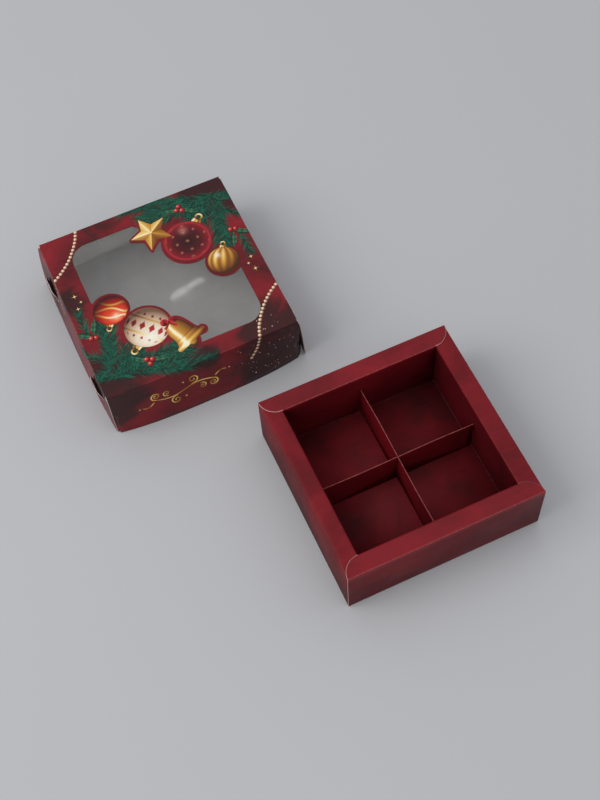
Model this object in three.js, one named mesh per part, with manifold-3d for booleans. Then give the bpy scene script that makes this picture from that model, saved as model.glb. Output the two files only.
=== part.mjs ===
// A candy box of folded card: a tray with rolled walls and a cross of two dividers,
// and a lid with a clear window, laid down behind the tray.
// Millimetres, +Z up. The middle of the tray's underside is the origin and the front faces -Y.
import * as THREE from "three";
import { mergeVertices } from "three/addons/utils/BufferGeometryUtils.js";
import Module from "manifold-3d";

const wasm = await Module();
wasm.setup();

// Card and film
const CARD = 0.35; // coated board of about 300 g per square metre
const FILM = 0.12;
const CREASE_GAP = 0.1; // hairline between two panels that meet at a crease
const LAYER_GAP = 0.1; // air between two layers of card that lie on each other
const FOLD_R = 0.3; // outer rounding of a creased edge

// Modelling
const CURVE_STEPS = 24;
const WELD = 1e-4; // points closer than this become one
const TRIM_OVER = 1; // a trimming shape runs past what it trims

// Tray
const TRAY_W = 103; // along X
const TRAY_D = 103; // along Y
const TRAY_H = 34.5;
const RIM = 9.5; // width of the hollow walls
const FLOOR_CLEAR = 0.2; // under an inner wall's cut edge
const INNER_END_CLEAR = 0.3; // between an inner wall's end and its neighbour
const TRAY_FLAP_L = 25;
const TRAY_FLAP_CUT = 5; // chamfer of a flap's free end
const FLAP_CLEAR = 1; // above and below a corner flap

// Dividers
const DIVIDER_H = 22.5;
const DIVIDER_END_CLEAR = 0.35;
const SLOT_CLEAR = 0.12; // each side of the other strip in a halving slot
const SLOT_EXTRA = 0.4; // slot depth beyond half the height

// Lid
const LID_CLEAR = 0.2; // each side between the tray and the lid's flaps
const LID_W = TRAY_W + 2 * (2 * CARD + LAYER_GAP + LID_CLEAR);
const LID_D = LID_W;
const LID_SHORT = 0.9; // the lid stands lower than the tray, so it closes on the rims
const LID_H = TRAY_H - LID_SHORT;
const LID_AT = new THREE.Vector2(-66.2, 138.5); // middle of the lid, where it lies on the table
const WALL_CORNER_R = 2; // rounded upper corners of the side walls
const WALL_STEPS = 20; // divisions along a sprung wall
const WALL_ROWS = 4;
const ROUND_STEPS = 6;

// The lid's walls spring out from their creases. These are measured at the lower edge, and the back and
// right walls are the front and left ones after half a turn.
const SPRING_END = 3.4; // bulge of a front wall's middle
const SPRING_END_FLAT = 3; // power of the bulge's fall towards the ends
const SPRING_END_TILT = 1.2; // its left end stands out by this, its right end not at all
const SPRING_SIDE = 2.8; // a left wall's back end stands out by this, its front end not at all
const SPRING_SIDE_EASE = 4;

// Lock of a lid corner: a tongue on the flap goes out through a slit in the side wall
const SLIT_FROM_END = 18.7; // slit middle to the lid's front or back face
const SLIT_L = 17;
const SLIT_Z = 16.5;
const SLIT_CLEAR = 0.15;
const JOG = 1.6; // height over which the tongue steps from inside to outside
const TONGUE_W = 13.5;
const TONGUE_H = 5; // above the slit's middle
const TONGUE_R = 3;
const TONGUE_SPRING = 1.6; // its tip stands off the side wall by this
const LID_FLAP_L = 31;
const LID_FLAP_CUT = 6;
const LID_FLAP_FALL = 3; // the flap's upper edge falls by this towards its free end
const LID_FLAP_STEPS = 12;
const LID_FLAP_EASE = 4.5; // from its root, a flap reaches its sprung side wall over this length
const SHOULDER = 0.15; // height over which a flap narrows to its tongue
const SLIT_H = (JOG * CARD) / (CARD + LAYER_GAP) + 2 * SLIT_CLEAR;

// Window: a rounded opening with two filled corners, each edged by baubles and one other ornament
const WINDOW_W = 79;
const WINDOW_D = 84;
const WINDOW_R = 10;
const FILM_LAP = 6; // film beyond the opening, glued under the panel
const FILM_R = 2;
const FILL_X = 44; // card that fills a corner, along the opening's edges
const FILL_Y = 49;
const BACKING = 1.4; // plain card left round each ornament
const BAUBLES = [
  { x: 20.5, y: 19.5, r: 13 },
  { x: 33, y: -0.5, r: 8.5 },
  { x: -18.5, y: -21.5, r: 12 },
  { x: -32, y: -3.5, r: 9 },
];
const STAR = { x: 5, y: 33, r: 11.5, waist: 5.6, turn: 0.3 };
const STAR_TIP_GROWTH = 1.7; // a tip's backing is thicker than the waist's
const STAR_TIP_ROUND = 0.3; // share of each tip's side that is rounded away
const BELL = { x: -3.5, y: -32, w: 19, h: 19, waist: 12, lip: 1.6, clapper: 2.6, turn: 0.45 };

const CARD_RED = { color: 0x6a1f29, roughness: 0.45, metalness: 0 };
const CARD_PRINT = { color: 0x551a20, roughness: 0.4, metalness: 0 };
const CLEAR_FILM = { color: 0xdfe8ec, roughness: 0.08, metalness: 0, transparent: true, opacity: 0.25 };

const box = new THREE.Group();
box.name = "candy_box";
const tray = new THREE.Group();
const lid = new THREE.Group();
lid.position.set(LID_AT.x, LID_AT.y, 0);
box.add(tray, lid);

function toSolid(geometry) {
  const plain = geometry.clone();
  plain.deleteAttribute("normal");
  plain.deleteAttribute("uv");
  const merged = mergeVertices(plain, WELD);
  return new wasm.Manifold(
    new wasm.Mesh({
      numProp: 3,
      vertProperties: new Float32Array(merged.attributes.position.array),
      triVerts: new Uint32Array(merged.index.array),
    }),
  );
}

function toGeometry(solid) {
  const mesh = solid.getMesh();
  const geometry = new THREE.BufferGeometry();
  geometry.setAttribute("position", new THREE.BufferAttribute(new Float32Array(mesh.vertProperties), 3));
  geometry.setIndex(new THREE.BufferAttribute(new Uint32Array(mesh.triVerts), 1));
  return geometry;
}

function add(group, name, geometry, look) {
  geometry.computeVertexNormals();
  const mesh = new THREE.Mesh(geometry, new THREE.MeshStandardMaterial(look));
  mesh.name = name;
  group.add(mesh);
  return mesh;
}

// One shape on two opposite sides of a group: as drawn, and after half a turn
function addPair(group, name, otherName, geometry, look) {
  add(group, name, geometry, look);
  add(group, otherName, geometry, look).rotation.z = Math.PI;
}

// One shape at all four corners of a group, drawn for its front left corner
function addCorners(group, name, geometry, look) {
  for (const end of ["front", "back"]) {
    for (const side of ["left", "right"]) {
      const mesh = add(group, `${name}_${end}_${side}`, geometry, look);
      mesh.scale.set(side === "left" ? 1 : -1, end === "front" ? 1 : -1, 1);
    }
  }
}

// Extrusions: a plan along Z, a section in (y, z) along X and a section in (x, z) along Y
function alongZ(shape, z0, z1) {
  return new THREE.ExtrudeGeometry(shape, { depth: z1 - z0, bevelEnabled: false, curveSegments: CURVE_STEPS })
    .translate(0, 0, z0);
}

function alongX(shape, x0, x1) {
  const turn = new THREE.Matrix4().makeBasis(
    new THREE.Vector3(0, 1, 0),
    new THREE.Vector3(0, 0, 1),
    new THREE.Vector3(1, 0, 0),
  );
  return new THREE.ExtrudeGeometry(shape, { depth: x1 - x0, bevelEnabled: false, curveSegments: CURVE_STEPS })
    .applyMatrix4(turn)
    .translate(x0, 0, 0);
}

function alongY(shape, y0, y1) {
  const turn = new THREE.Matrix4().makeBasis(
    new THREE.Vector3(1, 0, 0),
    new THREE.Vector3(0, 0, 1),
    new THREE.Vector3(0, -1, 0),
  );
  return new THREE.ExtrudeGeometry(shape, { depth: y1 - y0, bevelEnabled: false, curveSegments: CURVE_STEPS })
    .applyMatrix4(turn)
    .translate(0, y1, 0);
}

function polygon(points) {
  return new THREE.Shape(points.map(([a, b]) => new THREE.Vector2(a, b)));
}

// A rectangle whose named corners are rounded: radii from the lower left, going round
function rounded(a0, a1, b0, b1, radii) {
  const [r0, r1, r2, r3] = radii;
  const shape = new THREE.Shape();
  shape.moveTo(a0 + r0, b0);
  shape.lineTo(a1 - r1, b0);
  if (r1) shape.absarc(a1 - r1, b0 + r1, r1, -Math.PI / 2, 0, false);
  shape.lineTo(a1, b1 - r2);
  if (r2) shape.absarc(a1 - r2, b1 - r2, r2, 0, Math.PI / 2, false);
  shape.lineTo(a0 + r3, b1);
  if (r3) shape.absarc(a0 + r3, b1 - r3, r3, Math.PI / 2, Math.PI, false);
  shape.lineTo(a0, b0 + r0);
  if (r0) shape.absarc(a0 + r0, b0 + r0, r0, Math.PI, 1.5 * Math.PI, false);
  return shape;
}

// Tray: sizes that several panels share
const HALF_W = TRAY_W / 2;
const HALF_D = TRAY_D / 2;
const OPEN_W = HALF_W - RIM; // half the opening
const OPEN_D = HALF_D - RIM;
const SIDE_H = TRAY_H - CARD - LAYER_GAP; // the side rims lie under the ends of the front and back rims
const FLOOR_TOP = CARD;

function trayFloor() {
  const inset = CARD + CREASE_GAP;
  const plan = rounded(-HALF_W + inset, HALF_W - inset, -HALF_D + inset, HALF_D - inset, [0, 0, 0, 0]);
  add(tray, "tray_floor", alongZ(plan, 0, FLOOR_TOP), CARD_RED);
}

function trayOuterWalls() {
  const frontTop = TRAY_H - CARD - CREASE_GAP;
  const frontSection = rounded(-HALF_D, -HALF_D + CARD, 0, frontTop, [FOLD_R, 0, 0, 0]);
  const front = alongX(frontSection, -HALF_W, HALF_W);
  addPair(tray, "tray_front_outer_wall", "tray_back_outer_wall", front, CARD_RED);

  const sideTop = SIDE_H - CARD - CREASE_GAP;
  const sideEnd = HALF_D - CARD - LAYER_GAP;
  const leftSection = rounded(-HALF_W, -HALF_W + CARD, 0, sideTop, [FOLD_R, 0, 0, 0]);
  const left = alongY(leftSection, -sideEnd, sideEnd);
  addPair(tray, "tray_left_outer_wall", "tray_right_outer_wall", left, CARD_RED);
}

// The front and back rims have quarter-round ends that lie over the mitred ends of the side rims.
function trayRims() {
  const plan = new THREE.Shape();
  plan.moveTo(-HALF_W, -HALF_D);
  plan.lineTo(HALF_W, -HALF_D);
  plan.absarc(HALF_W - RIM, -HALF_D, RIM, 0, Math.PI / 2, false);
  plan.lineTo(-HALF_W + RIM, -HALF_D + RIM);
  plan.absarc(-HALF_W + RIM, -HALF_D, RIM, Math.PI / 2, Math.PI, false);
  const frontSection = rounded(-HALF_D, -OPEN_D, TRAY_H - CARD, TRAY_H, [0, 0, FOLD_R, FOLD_R]);
  const front = toGeometry(
    toSolid(alongX(frontSection, -HALF_W, HALF_W)).intersect(toSolid(alongZ(plan, 0, TRAY_H + TRIM_OVER))),
  );
  addPair(tray, "tray_front_rim", "tray_back_rim", front, CARD_RED);

  const end = HALF_D - CARD - LAYER_GAP;
  const mitred = polygon([[-HALF_W, -end], [-OPEN_W, -OPEN_D], [-OPEN_W, OPEN_D], [-HALF_W, end]]);
  const leftSection = rounded(-HALF_W, -OPEN_W, SIDE_H - CARD, SIDE_H, [0, 0, FOLD_R, FOLD_R]);
  const left = toGeometry(
    toSolid(alongY(leftSection, -end, end)).intersect(toSolid(alongZ(mitred, 0, TRAY_H + TRIM_OVER))),
  );
  addPair(tray, "tray_left_rim", "tray_right_rim", left, CARD_RED);
}

function trayInnerWalls() {
  const bottom = FLOOR_TOP + FLOOR_CLEAR;
  const frontSection = rounded(-OPEN_D - CARD, -OPEN_D, bottom, TRAY_H - CARD - CREASE_GAP, [0, 0, 0, 0]);
  const front = alongX(frontSection, -OPEN_W + INNER_END_CLEAR, OPEN_W - INNER_END_CLEAR);
  addPair(tray, "tray_front_inner_wall", "tray_back_inner_wall", front, CARD_RED);

  const leftSection = rounded(-OPEN_W - CARD, -OPEN_W, bottom, SIDE_H - CARD - CREASE_GAP, [0, 0, 0, 0]);
  const left = alongY(leftSection, -OPEN_D + INNER_END_CLEAR, OPEN_D - INNER_END_CLEAR);
  addPair(tray, "tray_left_inner_wall", "tray_right_inner_wall", left, CARD_RED);
}

// Corner flaps hang on the side walls and are tucked in behind the front and back walls.
function trayCornerFlaps() {
  const root = -HALF_W + CARD + CREASE_GAP;
  const tip = root + TRAY_FLAP_L;
  const low = FLOOR_TOP + FLAP_CLEAR;
  const high = SIDE_H - CARD - FLAP_CLEAR;
  const outline = polygon([
    [root, low],
    [tip - TRAY_FLAP_CUT, low],
    [tip, low + TRAY_FLAP_CUT],
    [tip, high - TRAY_FLAP_CUT],
    [tip - TRAY_FLAP_CUT, high],
    [root, high],
  ]);
  const near = -HALF_D + CARD + LAYER_GAP;
  addCorners(tray, "tray_corner_flap", alongY(outline, near, near + CARD), CARD_RED);
}

// Two strips halved into each other: the lower one is slotted from above, the upper one from below.
function dividers() {
  const low = FLOOR_TOP + CREASE_GAP;
  const high = low + DIVIDER_H;
  const half = CARD / 2 + SLOT_CLEAR;
  const deep = DIVIDER_H / 2 + SLOT_EXTRA;
  const endY = OPEN_D - DIVIDER_END_CLEAR;
  const lower = polygon([
    [-endY, low], [endY, low], [endY, high],
    [half, high], [half, high - deep], [-half, high - deep], [-half, high],
    [-endY, high],
  ]);
  add(tray, "divider_lower", alongX(lower, -CARD / 2, CARD / 2), CARD_RED);

  const endX = OPEN_W - DIVIDER_END_CLEAR;
  const upper = polygon([
    [-endX, low], [-half, low], [-half, low + deep], [half, low + deep], [half, low],
    [endX, low], [endX, high],
    [-endX, high],
  ]);
  add(tray, "divider_upper", alongY(upper, -CARD / 2, CARD / 2), CARD_RED);
}

// Lid: sizes that several panels share
const LID_HALF_W = LID_W / 2;
const LID_HALF_D = LID_D / 2;
const LID_WALL_TOP = LID_H - CARD - CREASE_GAP;
const SLIT_Y = LID_HALF_D - SLIT_FROM_END;

// A star of five rounded tips
function starShape(grow) {
  const at = (i, r) => {
    const a = STAR.turn + Math.PI / 2 + (i * Math.PI) / 5;
    return new THREE.Vector2(STAR.x + r * Math.cos(a), STAR.y + r * Math.sin(a));
  };
  const shape = new THREE.Shape();
  for (let i = 0; i < 10; i += 2) {
    const before = at(i - 1, STAR.waist + grow);
    const tip = at(i, STAR.r + STAR_TIP_GROWTH * grow);
    const after = at(i + 1, STAR.waist + grow);
    const rise = tip.clone().lerp(before, STAR_TIP_ROUND);
    const fall = tip.clone().lerp(after, STAR_TIP_ROUND);
    if (i === 0) shape.moveTo(rise.x, rise.y);
    else shape.lineTo(rise.x, rise.y);
    shape.quadraticCurveTo(tip.x, tip.y, fall.x, fall.y);
    shape.lineTo(after.x, after.y);
  }
  return shape;
}

// A bell's side view about its own middle: crown, waist, round lips and a clapper below the mouth
function bellShape(grow) {
  const top = BELL.h / 2 + grow;
  const low = -BELL.h / 2;
  const waist = BELL.waist / 2 + grow;
  const lipX = BELL.w / 2 - BELL.lip;
  const lipY = low + BELL.clapper;
  const lipR = BELL.lip + grow;
  const ballR = BELL.clapper + grow;
  const ballFrom = Math.asin((BELL.clapper - lipR) / (2 * ballR));
  const shape = new THREE.Shape();
  shape.moveTo(-lipX, lipY + lipR);
  shape.quadraticCurveTo(-waist, lipY + lipR + BELL.lip, -waist, 0);
  shape.bezierCurveTo(-waist, top, -waist / 2, top, 0, top);
  shape.bezierCurveTo(waist / 2, top, waist, top, waist, 0);
  shape.quadraticCurveTo(waist, lipY + lipR + BELL.lip, lipX, lipY + lipR);
  shape.absarc(lipX, lipY, lipR, Math.PI / 2, -Math.PI / 2, true);
  shape.absarc(0, low + BELL.clapper / 2, ballR, ballFrom, -Math.PI - ballFrom, true);
  shape.absarc(-lipX, lipY, lipR, -Math.PI / 2, -1.5 * Math.PI, true);
  return shape;
}

function disc(x, y, r) {
  const shape = new THREE.Shape();
  shape.absarc(x, y, r, 0, 2 * Math.PI, false);
  return shape;
}

// Card left standing in a corner of the opening: side and end are the corner's signs
function cornerFill(side, end) {
  const x = WINDOW_W / 2 + TRIM_OVER;
  const y = WINDOW_D / 2 + TRIM_OVER;
  const corner = [side * x, end * y];
  const alongEdge = [side * (x - FILL_X), end * y];
  const downEdge = [side * x, end * (y - FILL_Y)];
  return polygon([corner, alongEdge, downEdge]);
}

// The window's cutter is a rounded slab less the filled corners and the backing of each ornament.
function windowCutter() {
  const x = WINDOW_W / 2;
  const y = WINDOW_D / 2;
  const low = LID_H - 2 * CARD;
  const high = LID_H + CARD;
  const kept = [cornerFill(1, 1), cornerFill(-1, -1), starShape(BACKING)]
    .concat(BAUBLES.map((b) => disc(b.x, b.y, b.r + BACKING)))
    .map((shape) => alongZ(shape, low, high));
  kept.push(alongZ(bellShape(BACKING), low, high).rotateZ(BELL.turn).translate(BELL.x, BELL.y, 0));
  const opening = rounded(-x, x, -y, y, Array(4).fill(WINDOW_R));
  return kept.reduce((cutter, piece) => cutter.subtract(toSolid(piece)), toSolid(alongZ(opening, low, high)));
}

function lidTop() {
  const low = LID_H - CARD;
  const acrossX = rounded(-LID_HALF_W, LID_HALF_W, low, LID_H, [0, 0, FOLD_R, FOLD_R]);
  const acrossY = rounded(-LID_HALF_D, LID_HALF_D, low, LID_H, [0, 0, FOLD_R, FOLD_R]);
  const panel = toSolid(alongY(acrossX, -LID_HALF_D, LID_HALF_D))
    .intersect(toSolid(alongX(acrossY, -LID_HALF_W, LID_HALF_W)));
  add(lid, "lid_top_panel", toGeometry(panel.subtract(windowCutter())), CARD_PRINT);
}

function lidWindowFilm() {
  const x = WINDOW_W / 2 + FILM_LAP;
  const y = WINDOW_D / 2 + FILM_LAP;
  const top = LID_H - CARD - LAYER_GAP;
  const outline = rounded(-x, x, -y, y, Array(4).fill(FILM_R));
  add(lid, "lid_window_film", alongZ(outline, top - FILM, top), CLEAR_FILM);
}

// A sheet of card as a closed grid. Rows go up it, ends gives the two ends of a row, and place puts a point
// of its outer face (layer 0) or inner face (layer 1), seen with the outer face towards the viewer.
function sheet(rows, steps, ends, place) {
  const points = [];
  for (const layer of [0, 1]) {
    for (const z of rows) {
      const [from, to] = ends(z);
      for (let i = 0; i <= steps; i++) points.push(...place(from + ((to - from) * i) / steps, z, layer));
    }
  }
  const wide = steps + 1;
  const other = rows.length * wide;
  const faces = [];
  const quad = (a, b, c, d) => faces.push(a, b, c, a, c, d);
  for (let j = 0; j + 1 < rows.length; j++) {
    for (let i = 0; i < steps; i++) {
      const a = j * wide + i;
      quad(a, a + 1, a + wide + 1, a + wide);
      quad(other + a, other + a + wide, other + a + wide + 1, other + a + 1);
    }
    const left = j * wide;
    const right = left + steps;
    quad(left, left + wide, other + left + wide, other + left);
    quad(right, other + right, other + right + wide, right + wide);
  }
  const top = (rows.length - 1) * wide;
  for (let i = 0; i < steps; i++) {
    quad(i, other + i, other + i + 1, i + 1);
    quad(top + i, top + i + 1, other + top + i + 1, other + top + i);
  }
  const geometry = new THREE.BufferGeometry();
  geometry.setAttribute("position", new THREE.BufferAttribute(new Float32Array(points), 3));
  geometry.setIndex(faces);
  return geometry;
}

// Even divisions of a height, both ends included
function levels(from, to, steps) {
  return Array.from({ length: steps + 1 }, (_, i) => from + ((to - from) * i) / steps);
}

const drop = (z) => (LID_WALL_TOP - z) / LID_WALL_TOP;

function frontSpring(x, z) {
  const t = (x + LID_HALF_W) / LID_W;
  const bulge = 1 - Math.abs(2 * t - 1) ** SPRING_END_FLAT;
  return drop(z) * (SPRING_END_TILT * (1 - t) + SPRING_END * bulge);
}

// t runs along a side wall from the end that stays in place to the end that springs open
function sideSpring(t, z) {
  return drop(z) * SPRING_SIDE * (1 - (1 - t) ** SPRING_SIDE_EASE);
}

function lidWalls() {
  const frontEnd = LID_HALF_W - CARD - LAYER_GAP;
  const front = sheet(levels(0, LID_WALL_TOP, WALL_ROWS), WALL_STEPS, () => [-frontEnd, frontEnd], (x, z, layer) => [
    x, -LID_HALF_D - frontSpring(x, z) + layer * CARD, z,
  ]);
  addPair(lid, "lid_front_wall", "lid_back_wall", front, CARD_PRINT);

  const straight = LID_WALL_TOP - WALL_CORNER_R;
  const rows = levels(0, straight, WALL_ROWS).concat(
    levels(0, Math.PI / 2, ROUND_STEPS).slice(1).map((a) => straight + WALL_CORNER_R * Math.sin(a)),
  );
  const reach = (z) => {
    const up = Math.max(0, z - straight);
    return LID_HALF_D - WALL_CORNER_R + Math.sqrt(Math.max(0, WALL_CORNER_R ** 2 - up ** 2));
  };
  const whole = sheet(rows, WALL_STEPS, (z) => [-reach(z), reach(z)], (a, z, layer) => [
    -LID_HALF_W - sideSpring((LID_HALF_D - a) / LID_D, z) + layer * CARD, -a, z,
  ]);
  const deep = LID_HALF_W + SPRING_SIDE + TRIM_OVER;
  const slits = [-1, 1].map((end) => {
    const r = SLIT_H / 2;
    const half = SLIT_L / 2;
    const slot = rounded(end * SLIT_Y - half, end * SLIT_Y + half, SLIT_Z - r, SLIT_Z + r, [r, r, r, r]);
    return toSolid(alongX(slot, -deep, 0));
  });
  const left = slits.reduce((wall, slit) => wall.subtract(slit), toSolid(whole));
  addPair(lid, "lid_left_wall", "lid_right_wall", toGeometry(left), CARD_PRINT);
}

// A corner flap hangs on an end of the front or back wall and lies inside the side wall. Its tongue steps out
// through the slit and springs off the side wall's outer face, which locks the corner.
// side is -1 for the flap at the front left and 1 for the one at the front right.
function lidCornerFlap(side) {
  const inside = LID_HALF_W - CARD - LAYER_GAP;
  const outside = LID_HALF_W + LAYER_GAP + CARD;
  const root = -LID_HALF_D + CARD + CREASE_GAP;
  const low = FLAP_CLEAR;
  const stepFrom = SLIT_Z - JOG / 2;
  const stepTo = SLIT_Z + JOG / 2;
  const tip = SLIT_Z + TONGUE_H;
  const neck = stepFrom - CARD;
  const tongueFrom = -SLIT_Y - TONGUE_W / 2 - root;
  const tongueTo = tongueFrom + TONGUE_W;
  const ends = (z) => {
    if (z <= low + LID_FLAP_CUT) return [0, LID_FLAP_L - LID_FLAP_CUT + z - low];
    if (z <= stepFrom - LID_FLAP_FALL) return [0, LID_FLAP_L];
    if (z <= neck - SHOULDER) {
      const fall = (z - stepFrom + LID_FLAP_FALL) / (neck - SHOULDER - stepFrom + LID_FLAP_FALL);
      return [0, LID_FLAP_L + (tongueTo - LID_FLAP_L) * fall];
    }
    const up = Math.max(0, z - tip + TONGUE_R);
    const inset = TONGUE_R - Math.sqrt(Math.max(0, TONGUE_R ** 2 - up ** 2));
    return [tongueFrom + inset, tongueTo - inset];
  };
  const rows = [low, low + LID_FLAP_CUT, stepFrom - LID_FLAP_FALL, neck - SHOULDER, neck, stepFrom, stepTo].concat(
    levels(0, Math.PI / 2, ROUND_STEPS).map((a) => tip - TONGUE_R + TONGUE_R * Math.sin(a)),
  );
  const place = (a, z, layer) => {
    const along = side < 0 ? LID_FLAP_L - a : a;
    const y = root + along - frontSpring(side * inside, z);
    const step = Math.min(1, Math.max(0, (z - stepFrom) / JOG));
    const lift = TONGUE_SPRING * Math.max(0, (z - stepTo) / (tip - stepTo)) ** 2;
    const follow = Math.min(1, along / LID_FLAP_EASE);
    const t = side < 0 ? (y + LID_HALF_D) / LID_D : (LID_HALF_D - y) / LID_D;
    const out = inside + (outside - inside) * step + lift + follow * sideSpring(t, z) - layer * CARD;
    return [side * out, y, z];
  };
  const run = (z) => (side < 0 ? ends(z).map((a) => LID_FLAP_L - a).reverse() : ends(z));
  return sheet(rows, LID_FLAP_STEPS, run, place);
}

function lidCornerFlaps() {
  addPair(lid, "lid_corner_flap_front_left", "lid_corner_flap_back_right", lidCornerFlap(-1), CARD_PRINT);
  addPair(lid, "lid_corner_flap_front_right", "lid_corner_flap_back_left", lidCornerFlap(1), CARD_PRINT);
}

trayFloor();
trayOuterWalls();
trayRims();
trayInnerWalls();
trayCornerFlaps();
dividers();
lidTop();
lidWindowFilm();
lidWalls();
lidCornerFlaps();

export default box;
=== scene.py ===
"""Looks of a folding card candy box: a dark red tray with dividers, and a printed lid with a window."""

import math

import bmesh
import bpy
import numpy as np
from mathutils import Matrix, Vector


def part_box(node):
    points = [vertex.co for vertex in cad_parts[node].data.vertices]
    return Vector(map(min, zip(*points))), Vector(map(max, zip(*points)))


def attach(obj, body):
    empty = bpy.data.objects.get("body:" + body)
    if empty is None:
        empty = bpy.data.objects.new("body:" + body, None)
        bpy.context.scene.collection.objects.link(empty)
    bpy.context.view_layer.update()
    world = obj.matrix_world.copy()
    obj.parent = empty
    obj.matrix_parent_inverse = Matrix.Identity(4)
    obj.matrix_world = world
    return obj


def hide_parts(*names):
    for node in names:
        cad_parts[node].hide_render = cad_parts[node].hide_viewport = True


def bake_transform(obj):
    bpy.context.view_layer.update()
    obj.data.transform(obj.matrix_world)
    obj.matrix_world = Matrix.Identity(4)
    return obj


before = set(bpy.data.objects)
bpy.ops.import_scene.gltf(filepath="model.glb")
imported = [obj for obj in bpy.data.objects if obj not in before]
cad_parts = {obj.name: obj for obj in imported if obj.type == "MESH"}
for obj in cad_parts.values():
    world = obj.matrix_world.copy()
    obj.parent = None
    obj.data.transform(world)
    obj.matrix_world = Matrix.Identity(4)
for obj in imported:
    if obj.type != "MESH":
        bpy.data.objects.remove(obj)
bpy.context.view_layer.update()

# Sizes in millimetres, read from the solids where they give them
MM = 0.001
SIDES = {"front": 0, "right": 1, "back": 2, "left": 3}  # quarter turns from the front
ENDS = ("front", "back")


def span(node):
    low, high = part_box(node)
    return np.array(low) / MM, np.array(high) / MM


CARD = 0.35
BEND, BEND_STEPS = 0.6, 5  # outer radius of a creased fold, and the steps that it's drawn in
HAIR, ON_THE_LINE, TINY = 0.01, 1e-5, 1e-6  # slack where places are compared
CREASE_GAP, PANEL_GAP = 0.1, 0.06  # air at a crease, and between two panels that meet
TRAY_HALF = span("tray_front_outer_wall")[1][0]
TRAY_TOP = span("tray_front_rim")[1][2]
SIDE_TOP = span("tray_left_rim")[1][2]
SIDE_HALF = span("tray_left_outer_wall")[1][1]
OPEN_HALF = -span("tray_front_inner_wall")[1][1]
INNER_END = OPEN_HALF - PANEL_GAP
INNER_LOW = span("tray_front_inner_wall")[0][2]
RIM = TRAY_HALF - OPEN_HALF
FOOT = 4.0  # a strip's section starts this far in on the floor
LID_LOW, LID_HIGH = span("lid_top_panel")
LID_AT = (LID_LOW + LID_HIGH) / 2
LID_HALF = (LID_HIGH - LID_LOW)[0] / 2
LID_TOP = LID_HIGH[2]
INK = 0.012  # thickness of a printed layer
LID_INSET = 0.1  # the walls stand back by this, so that the ink on them stays inside the solids' reach
LID_FACE = LID_HALF - LID_INSET
FLAT = LID_FACE - BEND  # the lid's flat top ends here and the bend begins
WALL_START = FLAT + BEND * math.pi / 2  # along the sheet, where a lid wall is straight again
WALL_END = WALL_START + LID_TOP - BEND
FRONT_END = span("lid_front_wall")[1][0] - LID_AT[0]
FLAP_FACE = FRONT_END - PANEL_GAP  # outer face of a lid corner flap, from the lid's middle

# Marks that a sheet's corners carry for the finishes: worn creases, bare cut edges and deep shadow
MARKS = ("crease", "bare_edge", "deep")
CREASE_REACH, CREASE_FALL = 0.3, 3  # how far a crease's worn line spreads, and the power of its fading
# How worn a wall's creases are: at its foot, along its top and along the rim's inner edge
TRAY_WEAR = {
    "front": (0.35, 1.2, 0.15),
    "right": (0.25, 0.4, 0.5),
    "back": (0.35, 0.4, 1.2),
    "left": (0.25, 0.5, 0.15),
}
LID_WEAR = 0.6
# How worn a divider's top crease is, and the even painted shade over both its faces
DIVIDER_WEAR, DIVIDER_SHADE = 0.3, 0.8
BARE_EDGE, BARE_FOOT = 0.4, 0.7  # width of the pale line at a rim's round end and at an inner wall's foot
BARE_ENDS = {"front": (0.7, 0.2), "back": (0.7, 0.9)}  # how pale the cut ends of a rim are
WALL_FADE, INNER_FADE = 4.0, 2.5  # how far below a crease the painted shade has come to its full strength
END_WALL_SHADE, SIDE_WALL_SHADE = 0.7, 2.0  # how strong the painted shade is at the foot of an end wall and of a side wall
# How strong the painted shade is at the foot of each inner wall, growing down from the inner crease
INNER_WALL_SHADE = {"front": 1.0, "right": 1.4, "back": 1.0, "left": 1.4}

# One tray side has a soft top fold: its reach down the wall and over the rim, how far it gives way,
# in and down, and how near its ends it is held
SOFT_SIDE = "left"
SOFT_WALL, SOFT_RIM = 12.0, 3.0
SOFT_IN, SOFT_DOWN, SOFT_HELD = 1.0, 0.8, 14.0
SOFT_STEP, SOFT_RIM_LINES = 2, (0.9, 1.4, 2.0, SOFT_RIM)

# How far the lid's walls spring out at their lower edges, as in the solids
SPRING_END, SPRING_END_FLAT, SPRING_END_TILT = 3.4, 3, 1.2
SPRING_SIDE, SPRING_EASE = 2.8, 4
FLAP_EASE = 4.5
# At its sprung end a lid side stands out right below the crease, and its inner face carries painted shade in
# the gap
SIDE_OPENS, OPEN_POWER = 0.5, 16
GAP_SHADE_FULL, GAP_SHADE_FADE = 3.5, 7.0
OPEN_LINES, GAP_LINES = (1.0, 2.0), (1.2, GAP_SHADE_FULL, GAP_SHADE_FADE)

# The lid's corner lock: a flap inside the side wall, whose tongue steps out through a slit
CORNER_BEND = 1.2  # radius at which a front or back wall turns into its corner flap
SIDE_CORNER = 2.0
FLAP_LOW, FLAP_REACH, FLAP_CUT, FLAP_FALL = 1.0, 31.0, 6.0, 3.0
SLIT_Y, SLIT_Z, SLIT_LENGTH, SLIT_HEIGHT = LID_HALF - 18.7, 16.5, 17.0, 1.54
STEP = 1.6
FLAP_TOP = SLIT_Z - STEP / 2 - CARD
FLAP_LINES = (FLAP_LOW + 4, FLAP_LOW + 9)
TONGUE_HALF, TONGUE_TIP, TONGUE_ROUND = 6.75, SLIT_Z + 5.0, 3.0
TONGUE_OUT = 0.9  # from the flap's plane to the tongue's, through the side wall
TONGUE_SPRING = 1.6  # its tip stands off the wall by this

# The dividers' halving slots and their slight bow
SLOT_CLEAR, SLOT_EXTRA, DIVIDER_BOW = 0.12, 0.4, 0.22


def shade(red, green, blue):
    """A colour as it is seen on a screen, from 0 to 255, as light."""
    parts = [c / 255 for c in (red, green, blue)]
    return tuple(c / 12.92 if c <= 0.04045 else ((c + 0.055) / 1.055) ** 2.4 for c in parts)


def soft(value, low, high):
    """From 0 to 1 between two values, easing in and out."""
    share = np.clip((value - low) / (high - low), 0, 1)
    return share * share * (3 - 2 * share)


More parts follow.
